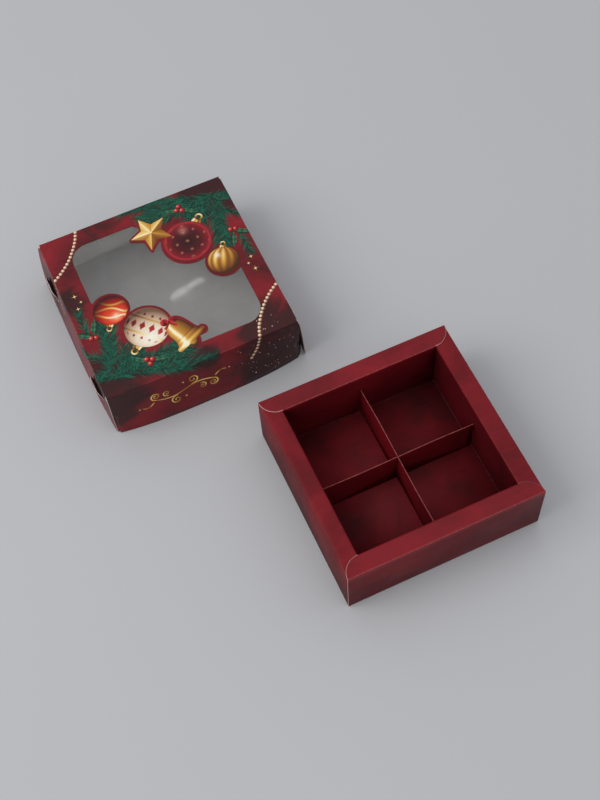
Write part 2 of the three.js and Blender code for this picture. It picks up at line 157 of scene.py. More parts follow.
def table(*columns):
    """Columns of numbers side by side, a row for each point."""
    return np.stack(np.broadcast_arrays(*columns), axis=1)


def placed(name, data):
    """A new object in the scene."""
    thing = bpy.data.objects.new(name, data)
    bpy.context.scene.collection.objects.link(thing)
    return thing


def rectangle(u0, u1, v0, v1):
    return [(u0, v0), (u1, v0), (u1, v1), (u0, v1)]


class Nodes:
    """A node tree, with one way to add a node, set it up and feed its sockets."""

    def __init__(self, tree):
        self.tree = tree

    def add(self, kind, inputs=None, output=0, **settings):
        node = self.tree.nodes.new(kind)
        for name, value in settings.items():
            setattr(node, name, value)
        for socket, value in (inputs or {}).items():
            self.feed(node.inputs[socket], value)
        return node.outputs[output]

    def feed(self, socket, value):
        if isinstance(value, bpy.types.NodeSocket):
            self.tree.links.new(value, socket)
        else:
            socket.default_value = value

    def number(self, operation, first, second):
        return self.add("ShaderNodeMath", {0: first, 1: second}, operation=operation)


# Camera, floor and light
CAMERA_AT, CAMERA_LENS, CAMERA_SENSOR = (-138.93, -250.47, 596.13), 58.845, 36
YAW, PITCH, ROLL = 0.3484, 1.0625, -0.0902
FLOOR_REACH, FLOOR_DROP = 3.0, 0.0002  # in metres
SKY_TINT, SKY_LOW, SKY_HIGH = (0.97, 0.985, 1.0, 1), 0.3, 0.96


def place_camera():
    view = Vector((math.sin(YAW) * math.cos(PITCH), math.cos(YAW) * math.cos(PITCH), -math.sin(PITCH)))
    level = Vector((math.cos(YAW), -math.sin(YAW), 0))
    right = math.cos(ROLL) * level + math.sin(ROLL) * level.cross(view)
    data = bpy.data.cameras.new("camera")
    data.lens, data.sensor_width = CAMERA_LENS, CAMERA_SENSOR
    turn = Matrix((right, right.cross(view), -view)).transposed()
    camera = placed("camera", data)
    camera.matrix_world = Matrix.Translation(Vector(CAMERA_AT) * MM) @ turn.to_4x4()
    bpy.context.scene.camera = camera


def place_lamp(name, at, aim, size, power, tint, along=(1, 0, 0)):
    data = bpy.data.lights.new(name, "AREA")
    data.shape = "RECTANGLE"
    data.size, data.size_y = size
    data.energy, data.color = power, tint
    back = (Vector(at) - Vector(aim)).normalized()
    across = (Vector(along) - Vector(along).dot(back) * back).normalized()
    turn = Matrix((across, back.cross(across), back)).transposed()
    placed(name, data).matrix_world = Matrix.Translation(at) @ turn.to_4x4()


def light_the_set():
    world = bpy.data.worlds.new("studio")
    bpy.context.scene.world = world
    world.use_nodes = True
    sky = Nodes(world.node_tree)
    height = sky.add("ShaderNodeSeparateXYZ", {0: sky.add("ShaderNodeTexCoord", output="Generated")}, "Z")
    strength = sky.add("ShaderNodeMapRange", {"Value": height, "To Min": SKY_LOW, "To Max": SKY_HIGH})
    background = world.node_tree.nodes["Background"]
    sky.feed(background.inputs["Color"], SKY_TINT)
    sky.feed(background.inputs["Strength"], strength)
    place_lamp("window_side", (-1.1, 0.16, 1.05), (-0.03, 0.05, 0), (1.0, 1.0), 8.6, (1.0, 0.985, 0.96))
    # The film mirrors this small lamp as a streak
    place_lamp("streak", (0.101, 0.849, 1.103), (-0.056, 0.1285, 0.033), (0.07, 0.006), 0.0055, (1, 1, 1),
               (0.96, 0.22, -0.14))
    bpy.context.scene.view_settings.view_transform = "Standard"


def make_floor(finish):
    mesh = bpy.data.meshes.new("floor")
    corners = rectangle(-FLOOR_REACH, FLOOR_REACH, -FLOOR_REACH, FLOOR_REACH)
    mesh.from_pydata([(x, y, -FLOOR_DROP) for x, y in corners], [], [(0, 1, 2, 3)])
    mesh.materials.append(finish)
    placed("floor", mesh)


# Finishes
class Finish(Nodes):
    """One material's node tree, with short ways to add what the card and ink need."""

    def __init__(self, name):
        self.material = bpy.data.materials.new(name)
        self.material.use_nodes = True
        super().__init__(self.material.node_tree)
        self.shader = self.tree.nodes["Principled BSDF"]
        self.coordinates = self.add("ShaderNodeTexCoord", output="Object")

    def stretched(self, scale, turn=(0, 0, 0), shift=(0, 0, 0)):
        sockets = {"Vector": self.coordinates, "Location": shift, "Rotation": turn, "Scale": scale}
        return self.add("ShaderNodeMapping", sockets)

    def noise(self, scale, detail, rough, vector=None, bend=0.0):
        sockets = {"Vector": vector or self.coordinates, "Scale": scale, "Detail": detail,
                   "Roughness": rough, "Distortion": bend}
        return self.add("ShaderNodeTexNoise", sockets, "Fac")

    def ramp(self, value, *stops):
        colour = self.add("ShaderNodeValToRGB", {"Fac": value}, "Color")
        points = colour.node.color_ramp.elements
        while len(points) < len(stops):
            points.new(0.5)
        for point, (at, tone) in zip(points, stops):
            point.position = at
            point.color = (*tone, 1)
        return colour

    def scaled(self, value, low, high, to_low, to_high, way="LINEAR"):
        sockets = {"Value": value, "From Min": low, "From Max": high, "To Min": to_low, "To Max": to_high}
        return self.add("ShaderNodeMapRange", sockets, "Result", interpolation_type=way)

    def uneven(self, scale, low, high):
        """A value that drifts between two ends over the sheet."""
        return self.scaled(self.noise(scale, 3, 0.6), 0.3, 0.7, low, high)

    def mix(self, share, first, second, way="MIX"):
        sockets = {"Factor": share}
        for socket, value in ((6, first), (7, second)):
            sockets[socket] = value if isinstance(value, bpy.types.NodeSocket) else (*value, 1)
        return self.add("ShaderNodeMix", sockets, 2, data_type="RGBA", blend_type=way)

    def mark(self, name, output="Fac"):
        return self.add("ShaderNodeAttribute", output=output, attribute_name=name)

    def marked(self, name, amount, colour, tone):
        """A colour that goes over to a tone where the sheet carries a mark."""
        return self.mix(self.number("MULTIPLY", self.mark(name), amount), colour, tone)

    def bump(self, height, depth, strength, under=None):
        sockets = {"Strength": strength, "Distance": depth, "Height": height}
        if under:
            sockets["Normal"] = under
        return self.add("ShaderNodeBump", sockets)

    def spot(self, centre, inner, outer):
        """All of something near a place, and none of it beyond a reach, in millimetres."""
        ends = {0: self.coordinates, 1: centre}
        off = self.add("ShaderNodeVectorMath", ends, "Value", operation="DISTANCE")
        return self.scaled(off, inner * MM, outer * MM, 1, 0, "SMOOTHSTEP")

    def paint(self, colour, rough, normal=None, gloss=0.5):
        sockets = {"Base Color": colour, "Roughness": rough, "Specular IOR Level": gloss}
        if normal:
            sockets["Normal"] = normal
        for socket, value in sockets.items():
            self.feed(self.shader.inputs[socket], value)
        return self.material


DEEP_RED, SIDE_FOOT_SHADE_AND_REFLECTION = shade(30, 8, 12), shade(46, 32, 32)  # painted shade tones: the card's red in deep shadow, and a greyer one for the side walls' feet, painted shade with a painted reflection of the floor
WORN_RED, BARE_CARD = shade(172, 92, 92), shade(206, 158, 152)
TRAY_TONES = ((82, 11, 19), (109, 17, 26), (134, 23, 33))
INSIDE_TONES = ((76, 31, 32), (114, 28, 35), (134, 34, 42))
LID_TONES = ((78, 9, 17), (112, 16, 26), (140, 22, 33))
TRAY_CLOUDS_AT = (0.059, -0.24, 0.057)


def velvet_red(finish, tones, streak_turn, cloud_scale=24, low_tone=DEEP_RED, shift=(0, 0, 0)):
    """Cloudy printed red with soft diagonal streaks, worn creases and bare cut edges, and painted shade
    where the sheet is marked deep, as colour.
    """
    dark, middle, bright = (shade(*tone) for tone in tones)
    clouds = finish.noise(cloud_scale, 4, 0.55, finish.stretched((1, 1, 1), shift=shift), bend=0.6)
    base = finish.ramp(clouds, (0.3, dark), (0.48, middle), (0.68, bright))
    brushed = finish.noise(1.0, 3, 0.6, finish.stretched((70, 620, 620), (0, 0, streak_turn)))
    base = finish.mix(finish.scaled(brushed, 0.45, 0.75, 0, 0.35), base, bright)
    grain = finish.noise(2600, 2, 0.6)
    base = finish.mix(finish.scaled(grain, 0.3, 0.7, 0, 0.18), base, dark)
    # Painted shade: where the sheet is marked deep, the red goes over to the shade tone
    base = finish.marked("deep", 0.36, base, low_tone)
    broken = finish.scaled(finish.noise(700, 3, 0.65), 0.34, 0.66, 0.3, 0.85)
    base = finish.marked("crease", broken, base, WORN_RED)
    return finish.marked("bare_edge", finish.scaled(grain, 0.3, 0.6, 0.7, 1), base, BARE_CARD)


def board_bump(finish):
    """Slight waves of a folded sheet under the fine grain of its coating."""
    waves = finish.bump(finish.noise(38, 2, 0.4), 0.0006, 0.35)
    return finish.bump(finish.noise(1900, 2, 0.5), 0.00002, 0.5, waves)


def tray_card_finish(name, gloss, low_tone=DEEP_RED, rough_span=(0.36, 0.48), dulled=0.2):
    finish = Finish(name)
    colour = velvet_red(finish, TRAY_TONES, 0.6, low_tone=low_tone, shift=TRAY_CLOUDS_AT)
    dull = finish.number("MULTIPLY", finish.mark("deep"), dulled)
    rough = finish.number("ADD", finish.uneven(60, *rough_span), dull)
    return finish.paint(colour, rough, board_bump(finish), gloss)


def tray_inside_finish():
    finish = Finish("tray_card_inside_red")
    colour = velvet_red(finish, INSIDE_TONES, 0.9, 40)
    return finish.paint(colour, finish.uneven(60, 0.6, 0.75), board_bump(finish), 0.14)


# Where the lid's red deepens to a dark brown: a place on the blank, full reach and faded reach
LID_DARK = (
    (-52, -66, 5, 20), (40, -68, 18, 36), (2, -54, 2, 15), (-45, -44, 10, 26), (45, 44, 10, 26),
    (-50, 10, 1, 15), (-18, 70, 2, 34), (68, -8, 0, 30), (-70, 34, 0, 30), (74, 42, 4, 32), (40, 74, 2, 30),
)


def lid_print_finish():
    finish = Finish("lid_card_print")
    red = velvet_red(finish, LID_TONES, -0.5)
    spots = [finish.spot(lid_skin([(u, v)])[0][0] * MM, inner, outer) for u, v, inner, outer in LID_DARK]
    deep = spots[0]
    for spot in spots[1:]:
        deep = finish.number("MAXIMUM", deep, spot)
    smoke = finish.scaled(finish.noise(44, 5, 0.62, bend=1.3), 0.3, 0.7, -0.55, 0.55)
    shadowed = finish.scaled(finish.number("ADD", deep, smoke), 0.12, 0.98, 0, 0.88, "SMOOTHSTEP")
    colour = finish.mix(shadowed, red, shade(38, 17, 18))
    return finish.paint(colour, finish.uneven(60, 0.34, 0.46), board_bump(finish), 0.25)


def lid_inside_finish():
    finish = Finish("lid_card_white")
    fibres = finish.noise(1.0, 4, 0.6, finish.stretched((400, 1500, 1500), (0, 0, 0.3)))
    colour = finish.ramp(fibres, (0.25, shade(230, 228, 224)), (0.75, shade(246, 244, 240)))
    specks = finish.scaled(finish.noise(1300, 1, 0.4), 0.72, 0.8, 0, 0.3)
    colour = finish.mix(specks, colour, shade(170, 165, 158))
    # Painted shade: where the deep mark lies, in the narrow gaps at the lid's corners, the white goes dark
    colour = finish.marked("deep", 0.92, colour, shade(30, 24, 24))
    return finish.paint(colour, 0.62, board_bump(finish))


def cut_edge_finish(name, stretch, low_tone, high_tone, rough, gloss):
    """The layers of the board where it is cut."""
    finish = Finish(name)
    layers = finish.noise(1.0, 3, 0.7, finish.stretched((stretch, stretch, 5000)))
    colour = finish.ramp(layers, (0.3, shade(*low_tone)), (0.7, shade(*high_tone)))
    return finish.paint(colour, rough, finish.bump(layers, 0.00004, 0.6), gloss)


def ink_finish():
    finish = Finish("printed_ink")
    grain = finish.scaled(finish.noise(2600, 2, 0.6), 0.3, 0.7, 0, 0.2)
    colour = finish.mix(grain, finish.mark("ink", "Color"), shade(30, 14, 16), "MULTIPLY")
    return finish.paint(colour, finish.uneven(80, 0.32, 0.42), board_bump(finish), 0.25)


def film_finish():
    """Clear film: what lies behind it, with a wavy gloss over it."""
    finish = Finish("clear_window_film")
    waves = finish.bump(finish.noise(30, 2, 0.4, bend=0.4), 0.0005, 0.5)
    mirror = {"Color": (1, 1, 1, 1), "Roughness": 0.04, "Normal": waves}
    gloss = finish.add("ShaderNodeBsdfGlossy", mirror)
    tint = finish.mix(finish.uneven(90, 0.925, 0.965), (0, 0, 0), (1, 0.99, 0.977))
    clear = finish.add("ShaderNodeBsdfTransparent", {"Color": tint})
    facing = finish.add("ShaderNodeLayerWeight", {"Blend": 0.5}, "Facing")
    share = finish.scaled(finish.number("POWER", facing, 5), 0, 1, 0.04, 1)
    both = finish.add("ShaderNodeMixShader", {0: share, 1: clear, 2: gloss})
    finish.feed(finish.tree.nodes["Material Output"].inputs["Surface"], both)
    finish.tree.nodes.remove(finish.shader)
    return finish.material


def floor_finish():
    finish = Finish("pale_floor")
    tone = finish.ramp(finish.noise(3, 2, 0.5), (0.3, (0.47, 0.474, 0.494)), (0.7, (0.482, 0.486, 0.506)))
    return finish.paint(tone, 0.85)


# Card panels
class BentCard:
    """The section of a folded strip: straight runs joined by round bends, along the outer face."""

    def __init__(self, corners, radius=BEND):
        corners = [np.array(c, float) for c in corners]
        ways = [(b - a) / np.linalg.norm(b - a) for a, b in zip(corners, corners[1:])]
        places, normals, length = [corners[0]], [np.array((-ways[0][1], ways[0][0]))], [0.0]
        self.bends = []
        for corner, way, out in zip(corners[1:-1], ways, ways[1:]):
            turn = math.copysign(1, way[0] * out[1] - way[1] * out[0])
            side = np.array((-way[1], way[0])) * turn
            middle = corner - way * radius + side * radius
            first = length[-1] + np.linalg.norm(corner - way * radius - places[-1])
            for step in range(BEND_STEPS + 1):
                angle = step / BEND_STEPS * math.pi / 2
                spoke = -side * math.cos(angle) + way * math.sin(angle)
                places.append(middle + spoke * radius)
                normals.append(-spoke * turn)
                length.append(first + radius * angle)
            self.bends.append((first, length[-1]))
        places.append(corners[-1])
        normals.append(np.array((-ways[-1][1], ways[-1][0])))
        length.append(length[-1] + np.linalg.norm(corners[-1] - places[-2]))
        self.length, self.places, self.normals = np.array(length), np.array(places), np.array(normals)

    def at(self, run):
        place, normal = (np.array([np.interp(run, self.length, values[:, k]) for k in (0, 1)])
                         for values in (self.places, self.normals))
        return place, normal / np.linalg.norm(normal, axis=0)


def turned(points, side):
    """Points drawn for the front, turned to another side of the box."""
    x, y, z = np.array(points, float).T
    for _ in range(SIDES[side]):
        x, y = -y, x
    return table(x, y, z)


def strip_skin(path, side, give):
    """A strip's outer face as it's folded; give says how far its section moves where a fold is soft."""
    def section(flat, run):
        return path.at(run)[0] + give(flat[:, 0], run)

    def skin(flat):
        run = flat[:, 1]
        place, normal = path.at(run)
        if give(flat[:, 0], run).any():
            place = section(flat, run)
            way = section(flat, run + HAIR) - section(flat, run - HAIR)
            normal = np.stack([-way[1], way[0]]) / np.linalg.norm(way, axis=0)
        return turned(table(flat[:, 0], *place), side), turned(table(0.0, *normal), side)

    return skin


def flat_pattern(outline, holes, across, along, edging=()):
    """A filled outline in the sheet's own plane, divided along lines so that it can be folded.

    An edging is a narrow strip outside a run of the outline: pairs of a corner and its outer place.
    """
    bm = bmesh.new()
    known = {}
    for loop in [outline, *holes]:
        corners = [bm.verts.new((u, v, 0)) for u, v in loop]
        known.update(zip(loop, corners))
        for first, second in zip(corners, corners[1:] + corners[:1]):
            bm.edges.new((first, second))
    bmesh.ops.triangle_fill(bm, edges=bm.edges[:], use_beauty=True)
    for strip in edging:
        rungs = [(known[corner], bm.verts.new((*place, 0))) for corner, place in strip]
        for (a, b), (d, c) in zip(rungs, rungs[1:]):
            bm.faces.new((a, b, c, d))
    bm.normal_update()
    divide(bm, across, along)
    return bm


def divide(bm, across, along):
    for normal, lines in (((1, 0, 0), across), ((0, 1, 0), along)):
        for line in lines:
            everything = bm.verts[:] + bm.edges[:] + bm.faces[:]
            bmesh.ops.bisect_plane(bm, geom=everything, dist=ON_THE_LINE, plane_co=Vector(normal) * line,
                                   plane_no=normal)


def lines_round(path, first, last):
    """Where a strip is divided: at each step of its bends, and where a crease's wear ends."""
    lines = list(path.length)
    for start, end in path.bends:
        lines += [start - CREASE_REACH, end + CREASE_REACH]
    return [line for line in lines if first < line < last]


def worn_crease(run, start, end):
    """How worn the card is on a bend: most on its middle, and not at all a little way off."""
    off = np.abs(run - (start + end) / 2)
    return (1 - np.clip(off / (CREASE_REACH + (end - start) / 2), 0, 1)) ** CREASE_FALL


def closed(faces, count):
    """A layer's underside and rims, for faces whose lower points follow all of the upper ones."""
    sides = {pair: True for face in faces for pair in zip(face, face[1:] + face[:1])}
    rims = [(b, a, a + count, b + count) for a, b in sides if (b, a) not in sides]
    return [[i + count for i in reversed(face)] for face in faces], rims


def shell_from(name, bm, skin, finishes, wear=None, cut=None, deep=None, inner_shade=None):
    """A sheet with an outer face, an inner face and cut edges, from its flat pattern and its folded form."""
    bm.verts.index_update()
    flat = np.array([v.co[:2] for v in bm.verts])
    count = len(flat)
    given = zip(MARKS, (wear, cut, deep))
    marks = {mark: np.zeros(count) if of is None else of(flat) for mark, of in given}
    marks["bare_edge"] = marks["bare_edge"] * np.array([v.is_boundary for v in bm.verts])
    # An inner face may carry a painted shade of its own in place of the outer face's deep mark
    inner_marks = dict(marks, deep=marks["deep"] if inner_shade is None else inner_shade(flat))
    outer, normals = skin(flat)
    inner = outer - normals * CARD
    faces = [[v.index for v in face.verts][::1 if face.normal.z > 0 else -1] for face in bm.faces]
    bm.free()
    first, second, third = outer[faces[0][:3]]
    if np.cross(second - first, third - first) @ normals[faces[0][0]] < 0:
        faces = [loop[::-1] for loop in faces]
    backs, rims = closed(faces, count)
    mesh = bpy.data.meshes.new(name)
    mesh.from_pydata((np.vstack([outer, inner]) * MM).tolist(), [], faces + backs + rims)
    slots = np.repeat([0, 1, 2], [len(faces), len(backs), len(rims)])
    mesh.polygons.foreach_set("material_index", slots.astype(np.int32))
    mesh.polygons.foreach_set("use_smooth", slots < 2)
    for finish in finishes:
        mesh.materials.append(finish)
    for mark in MARKS:
        values = np.concatenate([marks[mark], inner_marks[mark]]).astype(np.float32)
        mesh.attributes.new(mark, "FLOAT", "POINT").data.foreach_set("value", values)
    mesh.update()
    return placed(name, mesh)


def settle(piece, node, slot, *bodies, **bend):
    """A piece stands for a node, whose solid is hidden: it rides one body, or, where it spans a crease,
    keeps its place without riding one.
    """
    if bend:
        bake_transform(piece)
    else:
        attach(piece, *bodies)
    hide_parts(node)


def mirrored_outline(right):
    """An outline that is alike on both sides, from the points of its right half, from bottom to top."""
    return right + [(-u, v) for u, v in reversed(right)]


# Tray
def tray_strip(side, finishes, inner_finishes):
    """Outer wall, rim and inner wall of one side: one strip, rolled over."""
    ends = side in ENDS
    top, half = (TRAY_TOP, TRAY_HALF) if ends else (SIDE_TOP, SIDE_HALF)
    section = [(-TRAY_HALF + FOOT, 0), (-TRAY_HALF, 0), (-TRAY_HALF, top), (-OPEN_HALF, top),
               (-OPEN_HALF, INNER_LOW)]
    rolled, level = BentCard(section), BentCard(section[:-1])
    (low, _), (rim_from, rim_flat), (inner_from, inner_flat) = rolled.bends
    end, fold = rolled.length[-1], (rim_from + rim_flat) / 2
    fade, foot_shade = (WALL_FADE, END_WALL_SHADE) if ends else (rim_from - low, SIDE_WALL_SHADE)
    columns, rows = [], []
    if side == SOFT_SIDE:
        held = np.arange(SOFT_STEP, SOFT_HELD + 1, SOFT_STEP)
        columns = [way * (SIDE_HALF - off) for off in held for way in (1, -1)]
        rows = [fold - off for off in np.arange(SOFT_STEP, SOFT_WALL + 1, SOFT_STEP)]
        rows += [fold + off for off in SOFT_RIM_LINES]

    def give(along, run):
        """How far the soft top fold gives way, in and down: the rims over its ends hold it there."""
        share = np.clip(1 - np.abs(run - fold) / np.where(run < fold, SOFT_WALL, SOFT_RIM), 0, 1) ** 2
        share = share * (soft(SIDE_HALF - np.abs(along), 0, SOFT_HELD) if side == SOFT_SIDE else 0)
        return np.stack([SOFT_IN * share, -SOFT_DOWN * share])

    def wear(flat):
        creases = zip(rolled.bends, TRAY_WEAR[side])
        return np.max([amount * worn_crease(flat[:, 1], *bend) for bend, amount in creases], axis=0)

    # Painted shade on the outer wall: darker towards its foot
    def wall_shade(flat):
        return foot_shade * np.clip((rim_from - flat[:, 1]) / fade, 0, 1)

    # Painted shade on the inner wall: darker down from the inner crease
    def inner_shade(flat):
        return INNER_WALL_SHADE[side] * np.clip((flat[:, 1] - inner_flat) / INNER_FADE, 0, 1)

    def panel(part, outline, path, lines, finishes, edging=(), **marks):
        first, last = min(v for _, v in outline), max(v for _, v in outline)
        pattern = flat_pattern(outline, [], columns, lines_round(path, first, last) + lines, edging)
        skin = strip_skin(path, side, give)
        return shell_from(f"{side}_{part}", pattern, skin, finishes, wear, **marks)

    def round_end(inset):
        """The quarter round at a rim's end, less an inset: it stays level past the inner crease."""
        points = []
        for a in np.linspace(0, math.pi / 2, 25):
            depth = (RIM - inset) * math.sin(a)
            bent = BEND * math.acos(1 - min(depth / BEND, 1))
            along = OPEN_HALF + (RIM - inset) * math.cos(a)
            points.append((along, rim_from + bent + max(depth - BEND, 0)))
        return points

    def bare_ends(flat):
        past_the_opening = np.abs(flat[:, 0]) > OPEN_HALF - HAIR
        pale = np.where(flat[:, 0] < 0, *BARE_ENDS[side])
        return (flat[:, 1] > rim_from + HAIR) * past_the_opening * pale

    wall = panel("outer_wall_card", rectangle(-half, half, low, rim_from), rolled,
                 [rim_from - WALL_FADE, *rows], finishes, deep=wall_shade)
    inner = panel("inner_wall_card", rectangle(-INNER_END, INNER_END, inner_from, end), rolled,
                  [inner_flat + INNER_FADE, end - BARE_FOOT], inner_finishes,
                  cut=lambda flat: flat[:, 1] > end - HAIR, deep=inner_shade)
    if ends:
        shoulder = round_end(BARE_EDGE)
        pairs = list(zip(shoulder, round_end(0)))
        edging = [[((way * a, b), (way * c, d)) for (a, b), (c, d) in pairs] for way in (1, -1)]
        rim = panel("rim_card", mirrored_outline(shoulder + [(INNER_END, inner_from)]), level,
                    [inner_from - CREASE_REACH], finishes, edging, cut=bare_ends)
    else:
        slope = (SIDE_HALF - OPEN_HALF) / RIM
        ending = [(SIDE_HALF, rim_from), (SIDE_HALF - BEND * slope, rim_flat),
                  (OPEN_HALF + BEND * slope, inner_from)]
        rim = panel("rim_card", mirrored_outline(ending), rolled, rows, finishes)
    settle(wall, f"tray_{side}_outer_wall", "tray_card", "tray")
    if not ends:
        settle(rim, f"tray_{side}_rim", "tray_card", "tray")
        settle(inner, f"tray_{side}_inner_wall", "tray_card", "tray")
        return

    def corner(depth, height):
        return Vector(turned([(0, -TRAY_HALF + depth, height)], side)[0]) * MM

    settle(rim, f"tray_{side}_rim", "tray_card", "tray", f"{side}_rim",
           start=corner(0, top - BEND), end=corner(BEND, top))
    settle(inner, f"tray_{side}_inner_wall", "tray_card", f"{side}_rim", f"{side}_inner_wall",
           start=corner(RIM - BEND, top), end=corner(RIM, top - BEND))


def tray_floor(finishes):
    reach = TRAY_HALF - BEND

    def skin(flat):
        return table(*flat.T, 0.0), np.tile((0.0, 0.0, -1.0), (len(flat), 1))

    pattern = flat_pattern(rectangle(-reach, reach, -reach, reach), [], (), ())
    settle(shell_from("floor_card", pattern, skin, finishes), "tray_floor", "tray_card", "tray")


def copied_card(name, node, thin_axis, finishes):
    """Card taken over from its solid: its broad faces get the card's two sides, the rest its edge."""
    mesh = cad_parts[node].data.copy()
    mesh.name = name
    bm = bmesh.new()
    bm.from_mesh(mesh)
    bmesh.ops.remove_doubles(bm, verts=bm.verts[:], dist=TINY)
    for face in bm.faces:
        lean = face.normal[thin_axis]
        face.material_index = 0 if lean > 0.5 else 1 if lean < -0.5 else 2
        face.smooth = False
    bm.to_mesh(mesh)
    bm.free()
    mesh.materials.clear()
    for finish in finishes:
        mesh.materials.append(finish)
    for mark in MARKS:
        mesh.attributes.new(mark, "FLOAT", "POINT")
    return placed(name, mesh)


def tray_corner_flaps(finishes):
    for end in ENDS:
        for side in ("left", "right"):
            node = f"tray_corner_flap_{end}_{side}"
            piece = copied_card(f"{end}_{side}_tray_flap_card", node, 1, finishes)
            settle(piece, node, "tray_card", "tray")


def divider(name, along, finishes):
    """One strip with its halving slot, very slightly bowed between the crossing and its ends."""
    low, high = span(name)
    reach, bottom, top = high[along], low[2], high[2]
    gap, deep = CARD / 2 + SLOT_CLEAR, (top - bottom) / 2 + SLOT_EXTRA
    if name == "divider_lower":
        outline = [(-reach, bottom), (reach, bottom), (reach, top), (gap, top), (gap, top - deep),
                   (-gap, top - deep), (-gap, top), (-reach, top)]
    else:
        outline = [(-reach, bottom), (-gap, bottom), (-gap, bottom + deep), (gap, bottom + deep),
                   (gap, bottom), (reach, bottom), (reach, top), (-reach, top)]

    def skin(flat):
        share = np.clip(np.abs(flat[:, 0]) / reach, 0, 1)
        tall = (flat[:, 1] - bottom) / (top - bottom)
        bow = DIVIDER_BOW * np.sign(flat[:, 0]) * np.sin(share * math.pi) ** 2 * (0.3 + 0.7 * tall)
        points, normals = table(CARD / 2 + bow, *flat.T), np.tile((1.0, 0.0, 0.0), (len(flat), 1))
        if along == 0:
            points, normals = points[:, [1, 0, 2]], normals[:, [1, 0, 2]]
        return points, normals

    columns = np.linspace(-reach, reach, 29)[1:-1]
    pattern = flat_pattern(outline, [], columns, (top - CREASE_REACH,))
    # The divider's deep mark is an even painted shade on both its faces
    piece = shell_from(
        f"{name}_card", pattern, skin, finishes,
        wear=lambda flat: np.clip((flat[:, 1] - top + CREASE_REACH) / CREASE_REACH, 0, 1) * DIVIDER_WEAR,
        deep=lambda flat: np.full(len(flat), DIVIDER_SHADE))
    settle(piece, name, "divider_card", name)


# Lid
def lid_spring(side, along, drop):
    """How far a lid wall stands out at a place along it, from -1 to 1, and at a share of the way down."""
    share = np.clip((1 - along if side in ("back", "right") else 1 + along) / 2, 0, 1)
    if side in ENDS:
        bulge = 1 - np.abs(2 * share - 1) ** SPRING_END_FLAT
        return drop * (SPRING_END_TILT * (1 - share) + SPRING_END * bulge)
    return drop ** (1 - SIDE_OPENS * share**OPEN_POWER) * SPRING_SIDE * (1 - (1 - share) ** SPRING_EASE)


def lid_skin(flat):
    """The lid's outer face: the sheet's own plane, folded down at its four creases."""
    flat = np.array(flat, float)
    points = table(*flat[:, :2].T, LID_TOP)
    normals = np.tile((0.0, 0.0, 1.0), (len(flat), 1))
    for side, axis, way in (("front", 1, -1), ("back", 1, 1), ("left", 0, -1), ("right", 0, 1)):
        run = flat[:, axis] * way
        there = (run > FLAT) & (np.abs(flat[:, 1 - axis]) <= run + TINY)
        angle = np.clip((run[there] - FLAT) / BEND, 0, math.pi / 2)
        down = np.clip(run[there] - WALL_START, 0, None)
        drop = np.clip(down / (WALL_END - WALL_START), 0, 1)
        out = FLAT + BEND * np.sin(angle) + lid_spring(side, flat[there, 1 - axis] / LID_HALF, drop)
        points[there, axis] = way * out
        points[there, 2] = LID_TOP - BEND * (1 - np.cos(angle)) - down
        normals[there, axis] = way * np.sin(angle)
        normals[there, 2] = np.cos(angle)
    points[:, :2] += LID_AT[:2]
    return points, normals


LID_BENDS = list(np.linspace(FLAT, WALL_START, BEND_STEPS + 1))


def lid_wear(flat):
    return LID_WEAR * worn_crease(np.abs(flat).max(axis=1), FLAT, WALL_START)


def lid_height(height):
    """How far along the sheet a height on a lid wall lies."""
    return WALL_START + LID_TOP - BEND - height


def lid_walls(finishes):
    rows = [*LID_BENDS, WALL_START + CREASE_REACH, *np.linspace(WALL_START, WALL_END, 9)[1:-1]]
    columns = np.linspace(-LID_HALF, LID_HALF, 31)[1:-1]
    step, near = lid_height(FLAP_TOP), FRONT_END - CORNER_BEND
    quarter = np.linspace(0, math.pi / 2, 9)
    half_turn = np.linspace(-math.pi / 2, math.pi / 2, 9)
    reach, tall = SLIT_LENGTH / 2 - SLIT_HEIGHT / 2, SLIT_HEIGHT / 2
    for side, way in (("front", -1), ("back", 1)):
        right = [(FRONT_END, FLAT), (FRONT_END, step), (near, step), (near, WALL_END)]
        outline = [(u, way * v) for u, v in mirrored_outline(right)]
        pattern = flat_pattern(outline, [], columns, [way * v for v in rows])
        piece = shell_from(f"{side}_lid_wall_card", pattern, lid_skin, finishes, wear=lid_wear)
        settle(piece, f"lid_{side}_wall", "lid_card", "lid")
    rows += [WALL_START + line for line in OPEN_LINES]
    for side, way in (("left", -1), ("right", 1)):
        round_off = [(LID_FACE - SIDE_CORNER * (1 - math.sin(a)),
                      WALL_START + CARD + SIDE_CORNER * (1 - math.cos(a))) for a in quarter]
        right = [(LID_FACE - SIDE_CORNER, FLAT), *round_off, (LID_FACE, WALL_END)]
        outline = [(way * v, u) for u, v in mirrored_outline(right)]
        slits = []
        for middle in (-SLIT_Y, SLIT_Y):
            ring = [(middle + end * (reach + tall * math.cos(a)), SLIT_Z + end * tall * math.sin(a))
                    for end in (1, -1) for a in half_turn]
            slits.append([(way * lid_height(z), y) for y, z in ring])
        gap_lines = [way * (line - LID_FACE) for line in GAP_LINES]
        pattern = flat_pattern(outline, slits, [way * v for v in rows], [*columns, *gap_lines])
        # The inner face near the sprung end carries painted shade, darkest nearest the end
        piece = shell_from(
            f"{side}_lid_wall_card", pattern, lid_skin, finishes, wear=lid_wear,
            inner_shade=lambda flat: soft(-way * flat[:, 1], LID_FACE - GAP_SHADE_FADE, LID_FACE - GAP_SHADE_FULL))
        settle(piece, f"lid_{side}_wall", "lid_card", "lid")


def lid_top(finishes):
    """The top panel keeps the solid's window; its outer edge steps back to where the bends begin."""
    piece = copied_card("lid_top_card", "lid_top_panel", 2, finishes)
    for vertex in piece.data.vertices:
        for axis in (0, 1):
            off = vertex.co[axis] / MM - LID_AT[axis]
            if abs(off) > FLAT:
                vertex.co[axis] = (LID_AT[axis] + math.copysign(FLAT, off)) * MM
    settle(piece, "lid_top_panel", "lid_card", "lid")


